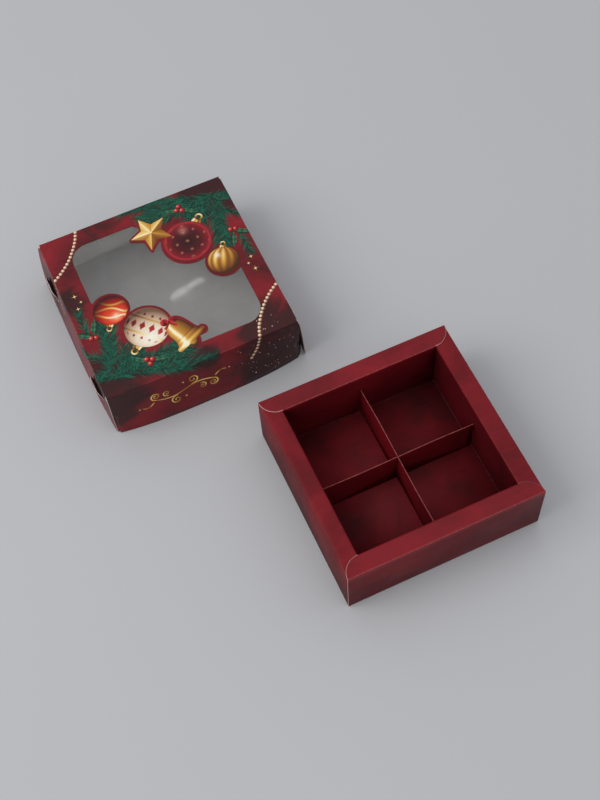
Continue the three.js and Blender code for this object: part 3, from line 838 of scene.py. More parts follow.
def lid_flap_outline(turn_length):
    """In the flap's own plane: along it from the front wall's end, and up."""
    start = turn_length + LID_FACE - CORNER_BEND
    end = start - LID_HALF + CARD + CREASE_GAP + FLAP_REACH
    first, last = start - SLIT_Y - TONGUE_HALF, start - SLIT_Y + TONGUE_HALF
    rounds = np.linspace(0, math.pi / 2, 7)
    low, r = TONGUE_TIP - TONGUE_ROUND, TONGUE_ROUND
    outline = [(0, FLAP_LOW), (end - FLAP_CUT, FLAP_LOW), (end, FLAP_LOW + FLAP_CUT),
               (end, FLAP_TOP - FLAP_FALL), (last, FLAP_TOP)]
    outline += [(last - r + r * math.cos(a), low + r * math.sin(a)) for a in rounds]
    outline += [(first + r - r * math.sin(a), low + r * math.cos(a)) for a in rounds]
    return outline + [(first, FLAP_TOP), (0, FLAP_TOP)]


def lid_corner_flaps(finishes):
    """A flap turns round from the front or back wall and lies inside the side wall; its tongue steps out."""
    turn_length = CORNER_BEND * math.pi / 2
    below, above = SLIT_Z - STEP / 2, SLIT_Z + STEP / 2
    turns = [*np.linspace(0, turn_length, 7)[1:], *np.arange(turn_length + 2.5, FLAP_REACH, 2.5)]
    steps = [*np.linspace(below, above, 7), *FLAP_LINES, *np.linspace(above, TONGUE_TIP, 6)[1:-1]]
    for end, end_way in (("front", -1), ("back", 1)):
        for side, side_way in (("left", -1), ("right", 1)):

            def skin(flat):
                angle = np.clip(flat[:, 0] / CORNER_BEND, 0, math.pi / 2)
                past = np.clip(flat[:, 0] - turn_length, 0, None)
                x = FLAP_FACE - CORNER_BEND + CORNER_BEND * np.sin(angle)
                y = LID_FACE - CORNER_BEND + CORNER_BEND * np.cos(angle) - past
                raised = np.clip((flat[:, 1] - above) / (TONGUE_TIP - above), 0, 1)
                out = TONGUE_OUT * soft(flat[:, 1], below, above) + TONGUE_SPRING * raised**2
                drop = np.clip(1 - flat[:, 1] / (LID_TOP - BEND), 0, 1)
                follow = np.clip((FRONT_END - y) / FLAP_EASE, 0, 1)
                y = y + lid_spring(end, side_way * FRONT_END / LID_HALF, drop)
                lean = follow * lid_spring(side, end_way * y / LID_HALF, drop)
                points = table(side_way * (x + out + lean), end_way * y, flat[:, 1])
                points[:, :2] += LID_AT[:2]
                return points, table(side_way * np.sin(angle), end_way * np.cos(angle), 0.0)

            pattern = flat_pattern(lid_flap_outline(turn_length), [], turns, steps)
            # The flap's inner face carries painted shade from just under the slit and all over its tongue
            piece = shell_from(f"{end}_{side}_lid_flap_card", pattern, skin, finishes,
                               inner_shade=lambda flat: soft(flat[:, 1], SLIT_Z - STEP, SLIT_Z))
            settle(piece, f"lid_corner_flap_{end}_{side}", "lid_card", "lid")


# Print: drawn on the flat blank about the lid's middle, with its lift as z, then folded with the lid
WINDOW_HALF, WINDOW_ROUND = (39.5, 42.0), 10.0
FILL, FILL_OVER, BACKING = (44.0, 49.0), 1.0, 1.4
VELVET_BAUBLE = (20.5, 19.5, 13.0)
RIBBED_BAUBLE = (33.0, -0.5, 8.5)
CREAM_BAUBLE = (-18.5, -21.5, 12.0)
BANDED_BAUBLE = (-32.0, -3.5, 9.0)
STAR_AT, STAR_TIP, STAR_WAIST, STAR_TURN = (5.0, 33.0), 11.5, 5.6, 0.3
BELL_AT, BELL_TURN, BELL_TALL, BELL_WAIST, BELL_LIP = (-3.5, -32.0), 0.45, 9.5, 6.0, 7.9
SKIRT_Y, LIP_Y, CLAPPER_Y, CLAPPER = -5.3, -8.4, -8.2, 2.5
PRINT_EDGE, PRINT_FOOT, SLIT_UNDER = 0.5, 0.4, 1.5  # print keeps this far off corners, feet and slits
# How high each print lies: what is drawn over something else lies above it
SPARKLE_LIFT, LEAF_LIFT, FLOURISH_LIFT, CAP_LIFT, BALL_LIFT, STAR_LIFT = 0.05, 0.07, 0.07, 0.08, 0.1, 0.14
CLAPPER_LIFT, BELL_LIFT, TAIL_LIFT, BOW_LIFT, KNOT_LIFT = 0.13, 0.15, 0.17, 0.19, 0.21
# Painted shading: tones on a scale from dark to bright
GOLD = ((0, (74, 36, 10)), (0.35, (150, 92, 30)), (0.65, (214, 156, 64)), (0.86, (250, 216, 128)),
        (1, (255, 246, 214)))
VELVET = ((0, (40, 9, 13)), (0.55, (78, 12, 20)), (0.84, (128, 18, 30)), (0.93, (176, 40, 52)),
          (1, (112, 17, 27)))
CREAM = ((0, (120, 84, 66)), (0.45, (196, 164, 136)), (0.8, (240, 222, 196)), (1, (252, 242, 226)))
LOZENGE_RED = ((0, (66, 8, 12)), (0.6, (136, 20, 28)), (1, (190, 50, 52)))
BANDED_RED = ((0, (70, 6, 6)), (0.5, (164, 24, 16)), (0.85, (226, 66, 36)), (1, (250, 130, 84)))
RIBBON = ((0, (70, 6, 12)), (0.5, (150, 18, 28)), (1, (214, 62, 66)))
BERRY = ((0, (60, 6, 8)), (0.6, (158, 22, 26)), (1, (224, 70, 60)))
HOLLY = ((0, (10, 38, 30)), (0.5, (24, 78, 56)), (1, (88, 146, 104)))


def over_window(flat):
    """Which places of the blank lie over the window's opening."""
    u, v = flat[:, 0], flat[:, 1]
    across, along = np.abs(u) - WINDOW_HALF[0] + WINDOW_ROUND, np.abs(v) - WINDOW_HALF[1] + WINDOW_ROUND
    open_there = (across < WINDOW_ROUND) & (along < WINDOW_ROUND)
    open_there &= ~((across > 0) & (along > 0) & (np.hypot(across, along) > WINDOW_ROUND))
    for corner in (1, -1):
        left = (WINDOW_HALF[0] + FILL_OVER - corner * u) / FILL[0]
        open_there &= left + (WINDOW_HALF[1] + FILL_OVER - corner * v) / FILL[1] > 1
    for x, y, r in (VELVET_BAUBLE, RIBBED_BAUBLE, CREAM_BAUBLE, BANDED_BAUBLE, (*STAR_AT, STAR_WAIST),
                    (*BELL_AT, BELL_WAIST)):
        open_there &= np.hypot(u - x, v - y) > r + BACKING
    return open_there


def on_the_card(flat):
    """Which places of the blank carry print: not the window, cut corners, slits or past an edge."""
    reach = np.abs(flat[:, :2])
    far, near = reach.max(axis=1), reach.min(axis=1)
    there = (far < WALL_END - PRINT_FOOT) & ((far < FLAT - PRINT_EDGE) | (near < FLAT - PRINT_EDGE))
    height = WALL_END - far
    slit = (reach[:, 0] > FLAT) & (np.abs(reach[:, 1] - SLIT_Y) < SLIT_LENGTH / 2 + PRINT_EDGE)
    slit &= (height > SLIT_Z - SLIT_UNDER) & (height < TONGUE_TIP + PRINT_EDGE)
    return there & ~slit & ~over_window(flat)


def points_of(mesh):
    flat = np.zeros(len(mesh.vertices) * 3)
    mesh.vertices.foreach_get("co", flat)
    return flat.reshape(-1, 3)


def folded_print(name, mesh):
    """A flat print as a piece on the folded lid; the blank's own plane is the plan of its texture."""
    flat = points_of(mesh)
    low, high = flat.min(axis=0), flat.max(axis=0)
    plan = (flat[:, :2] - low[:2] + flat[:, 2:]) / ((high - low)[:2].max() + high[2])
    corners = np.zeros(len(mesh.loops), dtype=np.int32)
    mesh.loops.foreach_get("vertex_index", corners)
    mesh.uv_layers.new(name="OFBake").data.foreach_set("uv", plan[corners].ravel().astype(np.float32))
    places, normals = lid_skin(flat[:, :2])
    mesh.vertices.foreach_set("co", ((places + normals * flat[:, 2:]) * MM).ravel())
    mesh.update()
    mesh.name = name
    piece = placed(name, mesh)
    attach(piece, "lid")


def lit(scale, level):
    """Painted shading: a level as a colour on a scale of tones."""
    at, tones = [a for a, _ in scale], np.array([shade(*tone) for _, tone in scale])
    return np.stack([np.interp(np.clip(level, 0, 1), at, tones[:, k]) for k in range(3)], axis=-1)


def blended(first, second, share):
    return first + (np.array(second) - first) * np.asarray(share, float)[..., None]


def set_at(own, at, turn):
    """Places in an ornament's own axes, turned and moved to where it lies on the blank."""
    x, y = np.moveaxis(np.asarray(own, float), -1, 0)
    cos, sin = math.cos(turn), math.sin(turn)
    return np.stack([at[0] + x * cos - y * sin, at[1] + x * sin + y * cos], axis=-1)


class PaintedPrint:
    """Patches of ink, each a thin closed layer with its colours painted on its points."""

    def __init__(self):
        self.points, self.faces, self.colours = [], [], []

    def patch(self, flat, faces, colours, lift):
        (u0, v0), (u1, v1), (u2, v2) = (flat[i] for i in faces[0][:3])
        if (u1 - u0) * (v2 - v0) < (v1 - v0) * (u2 - u0):
            faces = [face[::-1] for face in faces]
        start = len(self.points)
        for height in (lift + INK, lift):
            self.points += [(u, v, height) for u, v in flat]
            self.colours += [(*c, 1) for c in colours]
        backs, rims = closed(faces, len(flat))
        self.faces += [[start + i for i in face] for face in [*faces, *backs, *rims]]

    def grid(self, places, colours, lift):
        rows, columns = places.shape[:2]
        faces = [[j * columns + i, j * columns + i + 1, (j + 1) * columns + i + 1, (j + 1) * columns + i]
                 for j in range(rows - 1) for i in range(columns - 1)]
        colours = np.broadcast_to(colours, (rows, columns, 3))
        self.patch(places.reshape(-1, 2), faces, colours.reshape(-1, 3), lift)

    def disc(self, at, radius, paint, lift, turn, rings, spokes):
        """A round patch. Its paint is given in its own axes, from -1 to 1, turned by an angle."""
        own = [(0.0, 0.0)]
        for ring in range(1, rings + 1):
            own += [(ring / rings * math.cos(a), ring / rings * math.sin(a))
                    for a in np.linspace(0, 2 * math.pi, spokes, endpoint=False)]
        faces = [[0, 1 + i, 1 + (i + 1) % spokes] for i in range(spokes)]
        for ring in range(rings - 1):
            inner, outer = 1 + ring * spokes, 1 + (ring + 1) * spokes
            faces += [[inner + i, outer + i, outer + (i + 1) % spokes, inner + (i + 1) % spokes]
                      for i in range(spokes)]
        own = np.array(own)
        self.patch(set_at(own * radius, at, turn), faces, paint(own[:, 0], own[:, 1]), lift)

    def stroke(self, path, widths, colours, lift):
        """A line of changing width along a path."""
        path = np.array(path, float)
        way = np.gradient(path, axis=0)
        way /= np.linalg.norm(way, axis=1)[:, None]
        side = table(-way[:, 1], way[:, 0]) * np.asarray(widths)[:, None] / 2
        self.grid(np.stack([path - side, path, path + side]), colours, lift)

    def finish(self, name, ink):
        mesh = bpy.data.meshes.new(name)
        mesh.from_pydata(self.points, [], self.faces)
        colours = np.array(self.colours).ravel()
        mesh.attributes.new("ink", "FLOAT_COLOR", "POINT").data.foreach_set("color", colours)
        mesh.materials.append(ink)
        folded_print(name, mesh)


# Ornaments
def ball_light(x, y):
    """How bright a painted ball is at a place on it, lit from its upper left, and its bright spot."""
    deep = np.sqrt(np.clip(1 - x * x - y * y, 0, 1))
    level = np.clip(0.42 * -x + 0.46 * y + 0.78 * deep, 0, 1)
    return level, np.exp(-((x + 0.38) ** 2 + (y - 0.42) ** 2) / 0.028)


def round_the_ball(x, y):
    """How far round a ball a place is, from its middle line."""
    return np.arcsin(np.clip(x / np.sqrt(np.clip(1 - y * y, 1e-3, 1)), -1, 1))


def velvet_paint(x, y):
    off = np.hypot(x, y)
    flakes = soft(np.cos(round_the_ball(x, y) * 9) * np.cos(y * 10), 0.72, 0.92)
    colour = blended(lit(VELVET, off), shade(196, 128, 92), flakes * soft(off, 0.95, 0.8) * 0.5)
    return blended(colour, shade(220, 132, 124), ball_light(x, y)[1] * 0.55)


def ribbed_paint(x, y):
    level, spot = ball_light(x, y)
    ribs = 0.5 + 0.5 * np.cos(round_the_ball(x, y) * 11)
    return blended(lit(GOLD, level * (0.42 + 0.5 * ribs)), shade(255, 250, 226), spot * 0.8)


def cream_paint(x, y):
    """Red lozenges round the middle, gold lines along them and dots beyond."""
    level, spot = ball_light(x, y)
    red, turn = lit(LOZENGE_RED, level), round_the_ball(x, y) * 2.2
    lozenge = np.abs(turn % 1 - 0.5) * 1.5 + np.abs(y) * 1.9
    colour = blended(lit(CREAM, level), red, (np.abs(y) < 0.36) & (lozenge < 0.46))
    dots = ((turn + 0.5) % 1 - 0.5) ** 2 * 9 + (np.abs(y) - 0.56) ** 2 * 60
    colour = blended(colour, red, dots < 0.24)
    edging = np.exp(-((np.abs(y) - 0.37) / 0.035) ** 2)
    colour = blended(colour, lit(GOLD, level), np.clip(edging * 1.3, 0, 1))
    return blended(colour, shade(255, 252, 244), spot * 0.7)


def banded_paint(x, y):
    level, spot = ball_light(x, y)
    colour, gold, turn = lit(BANDED_RED, level), lit(GOLD, level * 1.05), round_the_ball(x, y)
    for height, swing in ((0.42, 0.1), (-0.02, -0.12), (-0.46, 0.1)):
        line = np.exp(-((y - height - swing * np.cos(turn * 3)) / 0.05) ** 2)
        colour = blended(colour, gold, np.clip(line * 1.3, 0, 1))
    return blended(colour, shade(255, 236, 206), spot * 0.8)


def cap_and_loop(paper, at, radius, turn):
    """A bauble's metal cap and the ring on it, outwards of the bauble along its own Y."""
    across = np.linspace(-1, 1, 9)
    own = np.array([[(c * 0.22 * (1.08 - 0.1 * j), r) for c in across]
                    for j, r in enumerate(np.linspace(0.93, 1.16, 4))])
    level = 0.6 - 0.5 * across + 0.25 * np.cos(across * 16)
    paper.grid(set_at(own * radius, at, turn), lit(GOLD, level), CAP_LIFT)
    angles = np.linspace(-0.5 * math.pi, 1.5 * math.pi, 25)
    ring = table(0.13 * np.cos(angles), 1.28 + 0.13 * np.sin(angles)) * radius
    gleam = lit(GOLD, 0.55 + 0.4 * np.sin(angles))
    paper.stroke(set_at(ring, at, turn), np.full(len(ring), 0.07 * radius), gleam, CAP_LIFT)


def print_baubles(ink):
    paper = PaintedPrint()
    hung = ((VELVET_BAUBLE, velvet_paint, -0.75), (RIBBED_BAUBLE, ribbed_paint, -0.35),
            (CREAM_BAUBLE, cream_paint, 2.35), (BANDED_BAUBLE, banded_paint, 2.75))
    for (x, y, r), paint, turn in hung:
        cap_and_loop(paper, (x, y), r, turn)
        paper.disc((x, y), r, paint, BALL_LIFT, turn, int(r * 2.4), int(r * 9))
    paper.finish("lid_print_baubles", ink)


def print_star(ink):
    """Five tips, each of a bright and a shaded facet."""
    paper = PaintedPrint()
    spread, middle_out = np.linspace(0, 1, 9), np.linspace(0.02, 1, 9)
    glow = np.linspace(0.12, -0.08, 9)[:, None] + np.linspace(0.1, -0.1, 9)
    for tip in range(5):
        angle = STAR_TURN + math.pi / 2 + tip * 2 * math.pi / 5
        end = np.array((math.cos(angle), math.sin(angle))) * STAR_TIP
        for way in (-1, 1):
            beside = angle + way * math.pi / 5
            waist = np.array((math.cos(beside), math.sin(beside))) * STAR_WAIST
            own = np.array([[out * (end * (1 - s) + waist * s) for s in spread] for out in middle_out])
            facing = 0.5 + 0.5 * math.cos(angle + way * 0.9 - 2.3)
            paper.grid(own + np.array(STAR_AT), lit(GOLD, 0.3 + 0.6 * facing + glow), STAR_LIFT)
    paper.disc(STAR_AT, 0.5, lambda x, y: lit(GOLD, 0.85 + 0.15 * y), STAR_LIFT + 0.02, 0, 2, 12)
    paper.finish("lid_print_star", ink)


def bow_paint(x, y):
    return lit(RIBBON, 0.5 + 0.4 * y - 0.3 * x - 0.25 * np.cos(x * 4))


def clapper_paint(x, y):
    return lit(GOLD, ball_light(x, y)[0] * 0.8)


def print_bell(ink):
    """Crown, lip, clapper and a bow on top."""
    paper = PaintedPrint()
    across = np.linspace(-1, 1, 21)
    sheen = 0.52 - 0.3 * across + 0.42 * np.exp(-((across + 0.42) / 0.2) ** 2) - 0.35 * across**4
    sheen = np.clip(sheen, 0, 1)[None, :]

    def put(rows, widths, glow):
        own = [[(c * w, y) for c in across] for y, w in zip(rows, widths)]
        paper.grid(set_at(own, BELL_AT, BELL_TURN), lit(GOLD, sheen + glow[:, None]), BELL_LIFT)

    clapper = set_at((0, CLAPPER_Y), BELL_AT, BELL_TURN)
    paper.disc(clapper, CLAPPER, clapper_paint, CLAPPER_LIFT, BELL_TURN, 5, 20)
    crown, skirt = np.linspace(0, BELL_TALL - 0.12, 16), np.linspace(SKIRT_Y, 0, 9)[:-1]
    rows = np.concatenate([skirt, crown])
    flare = BELL_WAIST + (BELL_LIP - BELL_WAIST) * (skirt / SKIRT_Y) ** 2.2
    dome = BELL_WAIST * np.sqrt(1 - (crown / BELL_TALL) ** 2.4)
    rings = 0.16 * np.exp(-((rows + 3.6) / 0.5) ** 2) - 0.14 * np.exp(-((rows + 2.7) / 0.4) ** 2)
    put(rows, np.concatenate([flare, dome]), rings)
    lip = np.linspace(LIP_Y, SKIRT_Y, 9)
    rolled = BELL_LIP + 1.6 * np.sqrt(np.clip(1 - ((lip + 6.85) / 1.6) ** 2, 0, 1))
    put(lip, rolled, 0.25 * np.cos((lip + 6.5) * 1.3))
    top = set_at((0, BELL_TALL - 0.6), BELL_AT, BELL_TURN)
    run = np.linspace(0, 1.3, 10)
    for way in (-1, 1):
        loop_at = top + np.array((way * 2.3, 1.0))
        paper.disc(loop_at, 2.2, bow_paint, BOW_LIFT, BELL_TURN + way * 0.5, 5, 18)
        tail = table(way * run * 2.6, -run * 3.4 + 0.8 * run * run) + top
        paper.stroke(tail, np.linspace(0.6, 1.7, 10), lit(RIBBON, np.linspace(0.3, 0.8, 10)), TAIL_LIFT)
    paper.disc(top + np.array((0, 0.4)), 1.1, bow_paint, KNOT_LIFT, 0, 4, 14)
    paper.finish("lid_print_bell", ink)


def berry_paint(x, y):
    level, spot = ball_light(x, y)
    return blended(lit(BERRY, level), shade(255, 226, 214), spot)


def leaf(paper, at, heading, length):
    """A holly leaf: pointed lobes along both sides and a paler middle rib."""
    run, across = np.linspace(0, 1, 33), np.linspace(-1, 1, 7)
    lobes = 0.72 + 0.28 * np.abs(np.cos(run * math.pi * 3))
    wide = length * 0.21 * np.sin(math.pi * run) ** 0.7 * lobes
    own = [[(t * length, c * w) for c in across] for t, w in zip(run, np.clip(wide, 0.02, None))]
    level = 0.35 + 0.3 * across + 0.4 * np.exp(-(across / 0.2) ** 2) + 0.1 * np.cos(run * 19)[:, None]
    paper.grid(set_at(own, at, heading), lit(HOLLY, level), LEAF_LIFT)


def print_holly(ink):
    paper = PaintedPrint()
    for corner in (1, -1):
        for u, v, heading in ((-24.5, -40.5, 2.5), (-24, -41, -0.25), (-44.5, -14, 1.2), (-45, -15, 2.6)):
            leaf(paper, (corner * u, corner * v), heading + (0 if corner > 0 else math.pi), 9.5)
        for u, v in ((-25.5, -39.5), (-22.8, -40.6), (-24.6, -42.6), (-44.2, -16.2), (-46.6, -15.6)):
            paper.disc((corner * u, corner * v), 1.55, berry_paint, BALL_LIFT, 0, 5, 18)
    paper.finish("lid_print_holly", ink)


# What repeats on the lid
class Recipe(Nodes):
    """A Geometry Nodes tree for a print that repeats, with its sizes as named inputs."""

    KINDS = {int: "NodeSocketInt", float: "NodeSocketFloat", tuple: "NodeSocketColor",
             bpy.types.Material: "NodeSocketMaterial"}

    def __init__(self, name, dark, bright, ink, **sizes):
        super().__init__(bpy.data.node_groups.new(name, "GeometryNodeTree"))
        self.sizes = dict(sizes, Dark=(*shade(*dark), 1), Bright=(*shade(*bright), 1), Ink=ink)
        new = self.tree.interface.new_socket
        new("Geometry", in_out="INPUT", socket_type="NodeSocketGeometry")
        self.sockets = {label: new(label, in_out="INPUT", socket_type=self.KINDS[type(value)])
                        for label, value in self.sizes.items()}
        new("Geometry", in_out="OUTPUT", socket_type="NodeSocketGeometry")
        self.given = self.tree.nodes.new("NodeGroupInput").outputs
        self.still = self.add("FunctionNodeAxisAngleToRotation", {"Axis": (0, 0, 1), "Angle": 0.0})

    def random(self, low, high, salt):
        seed = self.number("ADD", self.given["Seed"], salt)
        return self.add("FunctionNodeRandomValue", {2: low, 3: high, 8: seed}, 1, data_type="FLOAT")

    def coloured(self, geometry, share, domain):
        tones = {0: share, 6: self.given["Dark"], 7: self.given["Bright"]}
        colour = self.add("ShaderNodeMix", tones, 2, data_type="RGBA")
        sockets = {"Geometry": geometry, "Name": "ink", "Value": colour}
        return self.add("GeometryNodeStoreNamedAttribute", sockets, data_type="FLOAT_COLOR", domain=domain)

    def flattened(self, geometry, scale, turn=(0, 0, 0)):
        return self.add("GeometryNodeTransform", {"Geometry": geometry, "Rotation": turn, "Scale": scale})

    def points_along(self):
        """Points along the base's edges, at the given spacing."""
        curve = self.add("GeometryNodeMeshToCurve", {"Mesh": self.given["Geometry"]})
        sockets = {"Curve": curve, "Length": self.given["Spacing"]}
        return self.add("GeometryNodeCurveToPoints", sockets, mode="LENGTH")

    def spread(self, points, shape, turn, scale):
        """Copies of a shape on points, each with a little lift of its own so that they overlap cleanly."""
        sockets = {"Points": points, "Instance": shape, "Rotation": turn, "Scale": scale}
        copies = self.add("GeometryNodeInstanceOnPoints", sockets)
        lift = self.random(self.given["Lift"], self.given["Top lift"], 1)
        up = self.add("ShaderNodeCombineXYZ", {"Z": lift})
        return self.add("GeometryNodeTranslateInstances", {"Instances": copies, "Translation": up})

    def end(self, geometry):
        whole = self.add("GeometryNodeRealizeInstances", {"Geometry": geometry})
        inked = self.add("GeometryNodeSetMaterial", {"Geometry": whole, "Material": self.given["Ink"]})
        self.feed(self.tree.nodes.new("NodeGroupOutput").inputs["Geometry"], inked)

    def lay(self, name, base, copy_size):
        """Lays on the card what the tree makes of a base mesh; each copy has a set number of points."""
        carrier = placed(base.name, base)
        modifier = carrier.modifiers.new("recipe", "NODES")
        modifier.node_group = self.tree
        for label, value in self.sizes.items():
            modifier[self.sockets[label].identifier] = value
        graph = bpy.context.evaluated_depsgraph_get()
        mesh = bpy.data.meshes.new_from_object(carrier.evaluated_get(graph))
        carrier.modifiers.remove(modifier)
        bpy.data.objects.remove(carrier)
        trim(mesh, copy_size)
        folded_print(name, mesh)


NEEDLE_POINTS, BEAD_POINTS, SPECK_POINTS = 8, 52, 12  # points of one copy


def trim(mesh, copy_size):
    """Keeps only the copies that lie wholly on the card, and divides them where the card folds."""
    kept = np.repeat(on_the_card(points_of(mesh)).reshape(-1, copy_size).all(axis=1), copy_size)
    bm = bmesh.new()
    bm.from_mesh(mesh)
    bm.verts.ensure_lookup_table()
    bmesh.ops.delete(bm, geom=[bm.verts[i] for i in np.flatnonzero(~kept)], context="VERTS")
    folds = [way * line for line in LID_BENDS for way in (-1, 1)]
    divide(bm, folds, folds)
    bm.to_mesh(mesh)
    bm.free()


def path_mesh(name, paths):
    points, edges = [], []
    for path in paths:
        edges += [(len(points) + i, len(points) + i + 1) for i in range(len(path) - 1)]
        points += [(u, v, 0) for u, v in path]
    mesh = bpy.data.meshes.new(name)
    mesh.from_pydata(points, edges, [])
    return mesh


# Fir twigs: a place on the blank, heading in degrees, length, and bend in degrees
FIR_TWIGS = (
    (-46, -40, 80, 31, -10), (-43, -37, 64, 25, 16), (-40, -41, 44, 21, 10), (-37, -45, 24, 27, -16),
    (-35, -46, 3, 29, 8), (-44, -44, 6, 20, 14), (-26, -46, -30, 20, 22), (-39, -42, 172, 20, -20),
    (-41, -33, 146, 28, -18), (-43, -44, 20, 18, 12), (-44, -20, 70, 19, -24), (-16, -45, -28, 22, 20),
    (-46, -36, 58, 17, 16), (-42, -42, 33, 22, 6), (-29, -45, 16, 23, -8), (-41, -31, 88, 20, -8),
    (-45, -45, 52, 20, 8), (-33, -41, 56, 13, -14), (-34, -45, -12, 26, -10), (-40, -36, 188, 20, 12),
    (-47, -13, 98, 14, -10), (-22, -46, -3, 19, 14),
)
TWIG_STEPS = 12


def twig_path(u, v, heading, length, bend):
    angle = np.radians(heading + bend * np.linspace(0, 1, TWIG_STEPS + 1))
    step = length / TWIG_STEPS
    return table(u + np.cumsum(np.cos(angle)) * step, v + np.cumsum(np.sin(angle)) * step)


def print_fir(ink):
    recipe = Recipe("fir_needles", (4, 36, 31), (14, 108, 82), ink, Spacing=0.36, Length=6.2, Width=0.5,
                    Lift=0.025, **{"Top lift": 0.065}, Seed=11)
    half = recipe.number("MULTIPLY", recipe.given["Width"], 0.5)
    sizes = {"Vertices": 4, "Side Segments": 1, "Radius Top": 0.06, "Radius Bottom": half,
             "Depth": recipe.given["Length"]}
    cone = recipe.add("GeometryNodeMeshCone", sizes, fill_type="NGON")
    needle = recipe.flattened(cone, (0.03, 1, 1), (0, math.pi / 2, 0))
    both = recipe.add("GeometryNodeJoinGeometry")
    for way in (1, -1):
        points = recipe.points_along()
        tangent = points.node.outputs["Tangent"]
        along = recipe.add("FunctionNodeAlignRotationToVector", {"Vector": tangent}, axis="X")
        angle = recipe.random(way * 0.3, way * 0.95, 2 + way)
        swing = recipe.add("FunctionNodeAxisAngleToRotation", {"Axis": (0, 0, 1), "Angle": angle})
        turn = recipe.add("FunctionNodeRotateRotation", {"Rotation": along, "Rotate By": swing},
                          rotation_space="GLOBAL")
        needles = recipe.spread(points, needle, turn, recipe.random(0.55, 1.0, 6 + way))
        shares = recipe.number("POWER", recipe.random(0.0, 1.0, 10 + way), 1.7)
        recipe.feed(both.node.inputs[0], recipe.coloured(needles, shares, "INSTANCE"))
    recipe.end(both)
    twigs = [corner * twig_path(*twig) for corner in (1, -1) for twig in FIR_TWIGS]
    recipe.lay("lid_print_fir", path_mesh("fir_twigs", twigs), NEEDLE_POINTS)


# Bead garlands over the two open corners: places on the blank that the thread passes
GARLAND = ((-66, 15), (-60, 21), (-53, 25.5), (-47, 29.5), (-41, 35), (-36.5, 41), (-33, 47), (-31, 53),
           (-29, 60), (-25, 66))
THREAD_POINTS, THREAD_SMOOTHINGS = 91, 12
BEAD_LIGHT = (-0.45, 0.5, 0.74)


def garland_path():
    places = np.array(GARLAND, float)
    fine = np.linspace(0, len(places) - 1, THREAD_POINTS)
    thread = table(*(np.interp(fine, np.arange(len(places)), places[:, k]) for k in (0, 1)))
    for _ in range(THREAD_SMOOTHINGS):
        thread[1:-1] = (thread[:-2] + 2 * thread[1:-1] + thread[2:]) / 4
    return thread


def print_beads(ink):
    recipe = Recipe("bead_garland", (122, 62, 44), (255, 226, 192), ink, Spacing=2.25, Bead=1.02,
                    Lift=0.03, **{"Top lift": 0.05}, Seed=3)
    ball = recipe.add("GeometryNodeMeshUVSphere", {"Segments": 10, "Rings": 6, "Radius": 1.0})
    place = recipe.add("GeometryNodeInputPosition")
    light = recipe.add("ShaderNodeVectorMath", {0: place, 1: BEAD_LIGHT}, 1, operation="DOT_PRODUCT")
    level = recipe.add("ShaderNodeMapRange", {"Value": light, 1: 0.05, 2: 0.95, 3: 0.0, 4: 1.0})
    bead = recipe.flattened(recipe.coloured(ball, level, "POINT"), (1, 1, 0.008))
    recipe.end(recipe.spread(recipe.points_along(), bead, recipe.still, recipe.given["Bead"]))
    threads = [corner * garland_path() for corner in (1, -1)]
    recipe.lay("lid_print_beads", path_mesh("bead_threads", threads), BEAD_POINTS)


# Gold dust: fields on the blank, as left, right, near and far
DUST_FIELDS = ((18, 50, -84, -54), (54, 84, -46, -6), (30, 50, -50, -42), (-84, -54, 6, 46),
               (-50, -18, 54, 84))


def print_dust(ink):
    recipe = Recipe("gold_dust", (206, 140, 66), (255, 240, 212), ink, Density=0.055, Speck=0.42,
                    Lift=0.03, **{"Top lift": 0.045}, Seed=5)
    given = recipe.given
    fields = {"Mesh": given["Geometry"], "Density": given["Density"], "Seed": given["Seed"]}
    points = recipe.add("GeometryNodeDistributePointsOnFaces", fields)
    ball = recipe.add("GeometryNodeMeshIcoSphere", {"Radius": given["Speck"], "Subdivisions": 1})
    size = recipe.number("POWER", recipe.random(0.4, 1.0, 7), 1.6)
    specks = recipe.spread(points, recipe.flattened(ball, (1, 1, 0.02)), recipe.still, size)
    recipe.end(recipe.coloured(specks, recipe.random(0.0, 1.0, 9), "INSTANCE"))
    base = bpy.data.meshes.new("dust_fields")
    corners = [corner for field in DUST_FIELDS for corner in rectangle(*field)]
    faces = [range(i, i + 4) for i in range(0, len(corners), 4)]
    base.from_pydata([(u, v, 0) for u, v in corners], [], faces)
    recipe.lay("lid_print_dust", base, SPECK_POINTS)


def print_sparkles(ink):
    """Three four-pointed glints by each open corner."""
    paper = PaintedPrint()
    run = np.linspace(-1, 1, 9)
    widths, colours = 0.05 + 0.55 * (1 - np.abs(run)) ** 2, lit(GOLD, 1 - 0.45 * np.abs(run))
    for corner in (1, -1):
        for u, v, r in ((-46.0, 12.5, 1.9), (-44.0, 8.0, 1.3), (-46.8, 4.5, 1.6)):
            for turn in (0, 1):
                ray = set_at(table(r * run, 0 * run), (corner * u, corner * v), turn * math.pi / 2)
                paper.stroke(ray, widths, colours, SPARKLE_LIFT + turn * 0.02)
    paper.finish("lid_print_sparkles", ink)


# Gold flourish on the front wall, about its own middle
FLOURISH_AT = (-13.0, 17.5)


def curl(at, start, turns, first, last):
    """A spiral that winds in: centre, starting angle, turns and its two radii."""
    run = np.linspace(0, 1, 40)
    angle = start + turns * 2 * math.pi * run
    radius = first + (last - first) * run**0.8
    return table(at[0] + radius * np.cos(angle), at[1] + radius * np.sin(angle))


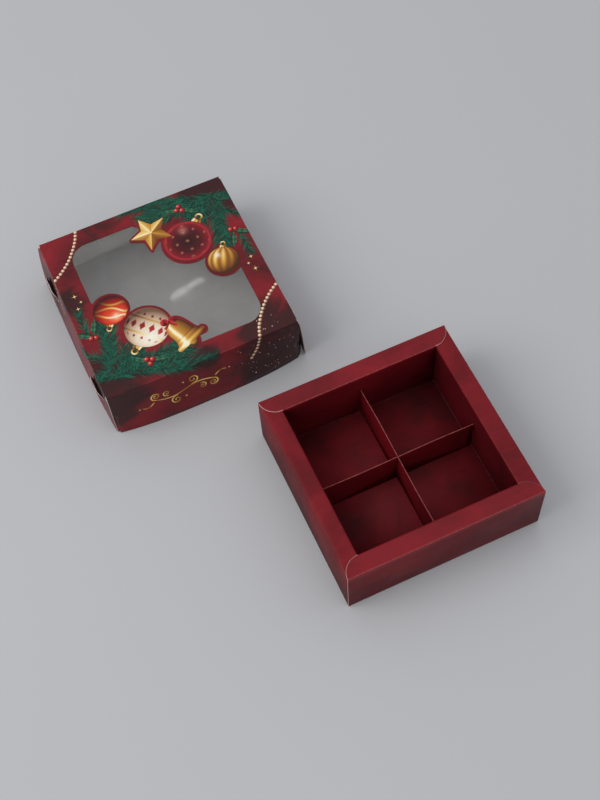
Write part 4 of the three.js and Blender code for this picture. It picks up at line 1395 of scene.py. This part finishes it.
def print_flourish(ink):
    paper = PaintedPrint()
    origin = np.array((FLOURISH_AT[0], -lid_height(FLOURISH_AT[1])))
    wave = np.linspace(-15.5, 15.5, 60)
    tail = table(np.linspace(17, 23.5, 24), 1.2 + 2.6 * np.sin(np.linspace(0, 2.4, 24)))
    half = [
        (curl((15.5, -3.05), math.pi / 2, -1.6, 3.0, 0.5), 0.75, 0.3),
        (curl((5.2, 5.4), -1.9, 1.45, 3.4, 0.5), 0.7, 0.3),
        (curl((9.6, -2.6), 2.0, -1.3, 2.4, 0.4), 0.55, 0.28),
        (tail, 0.6, 0.2),
    ]
    strokes = [(table(wave, 1.9 * np.sin(wave * 0.2)), 0.4, 0.75)]
    strokes += [(way * path, first, last) for way in (1, -1) for path, first, last in half]
    for path, first, last in strokes:
        run = np.linspace(0, 1, len(path))
        widths = first + (last - first) * run + 0.22 * np.sin(run * math.pi)
        paper.stroke(origin + path, widths, lit(GOLD, 0.62 + 0.2 * np.sin(run * 9)), FLOURISH_LIFT)
    for x, y, r in ((0, 5.6, 0.55), (0, -5.6, 0.55), (25.2, 3.0, 0.5), (-25.2, -3.0, 0.5)):
        paper.disc(origin + (x, y), r, lambda a, b: lit(GOLD, 0.7 + 0.2 * b), FLOURISH_LIFT, 0, 3, 14)
    paper.finish("lid_print_flourish", ink)


light_the_set()
place_camera()
make_floor(floor_finish())
tray_red, deep_red = tray_card_finish("tray_card_red", 0.2), tray_card_finish("tray_card_deep_red", 0.06)
# The side walls' feet go over to a grey tone: painted shade with a painted reflection of the floor
side_red = tray_card_finish("tray_side_red", 0.18, SIDE_FOOT_SHADE_AND_REFLECTION, (0.54, 0.66), 0.02)
inside_red = tray_inside_finish()
cut_edge = cut_edge_finish("card_cut_edge", 900, (196, 160, 156), (236, 218, 212), 0.75, 0.5)
divider_edge = cut_edge_finish("divider_cut_edge", 500, (112, 40, 42), (158, 84, 80), 0.7, 0.2)
tray_finishes, divider_finishes = (tray_red, inside_red, cut_edge), (deep_red, deep_red, divider_edge)
lid_finishes = (lid_print_finish(), lid_inside_finish(), cut_edge)
for tray_side in SIDES:
    outer_red = tray_red if tray_side in ENDS else side_red
    tray_strip(tray_side, (outer_red, inside_red, cut_edge), (deep_red, inside_red, divider_edge))
tray_floor(tray_finishes)
tray_corner_flaps(tray_finishes)
divider("divider_lower", 1, divider_finishes)
divider("divider_upper", 0, divider_finishes)
lid_top(lid_finishes)
lid_walls(lid_finishes)
lid_corner_flaps(lid_finishes)
printed_ink = ink_finish()
for print_layer in (print_fir, print_holly, print_baubles, print_star, print_bell, print_beads,
                    print_dust, print_sparkles, print_flourish):
    print_layer(printed_ink)
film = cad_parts["lid_window_film"]
film.data.materials.clear()
film.data.materials.append(film_finish())
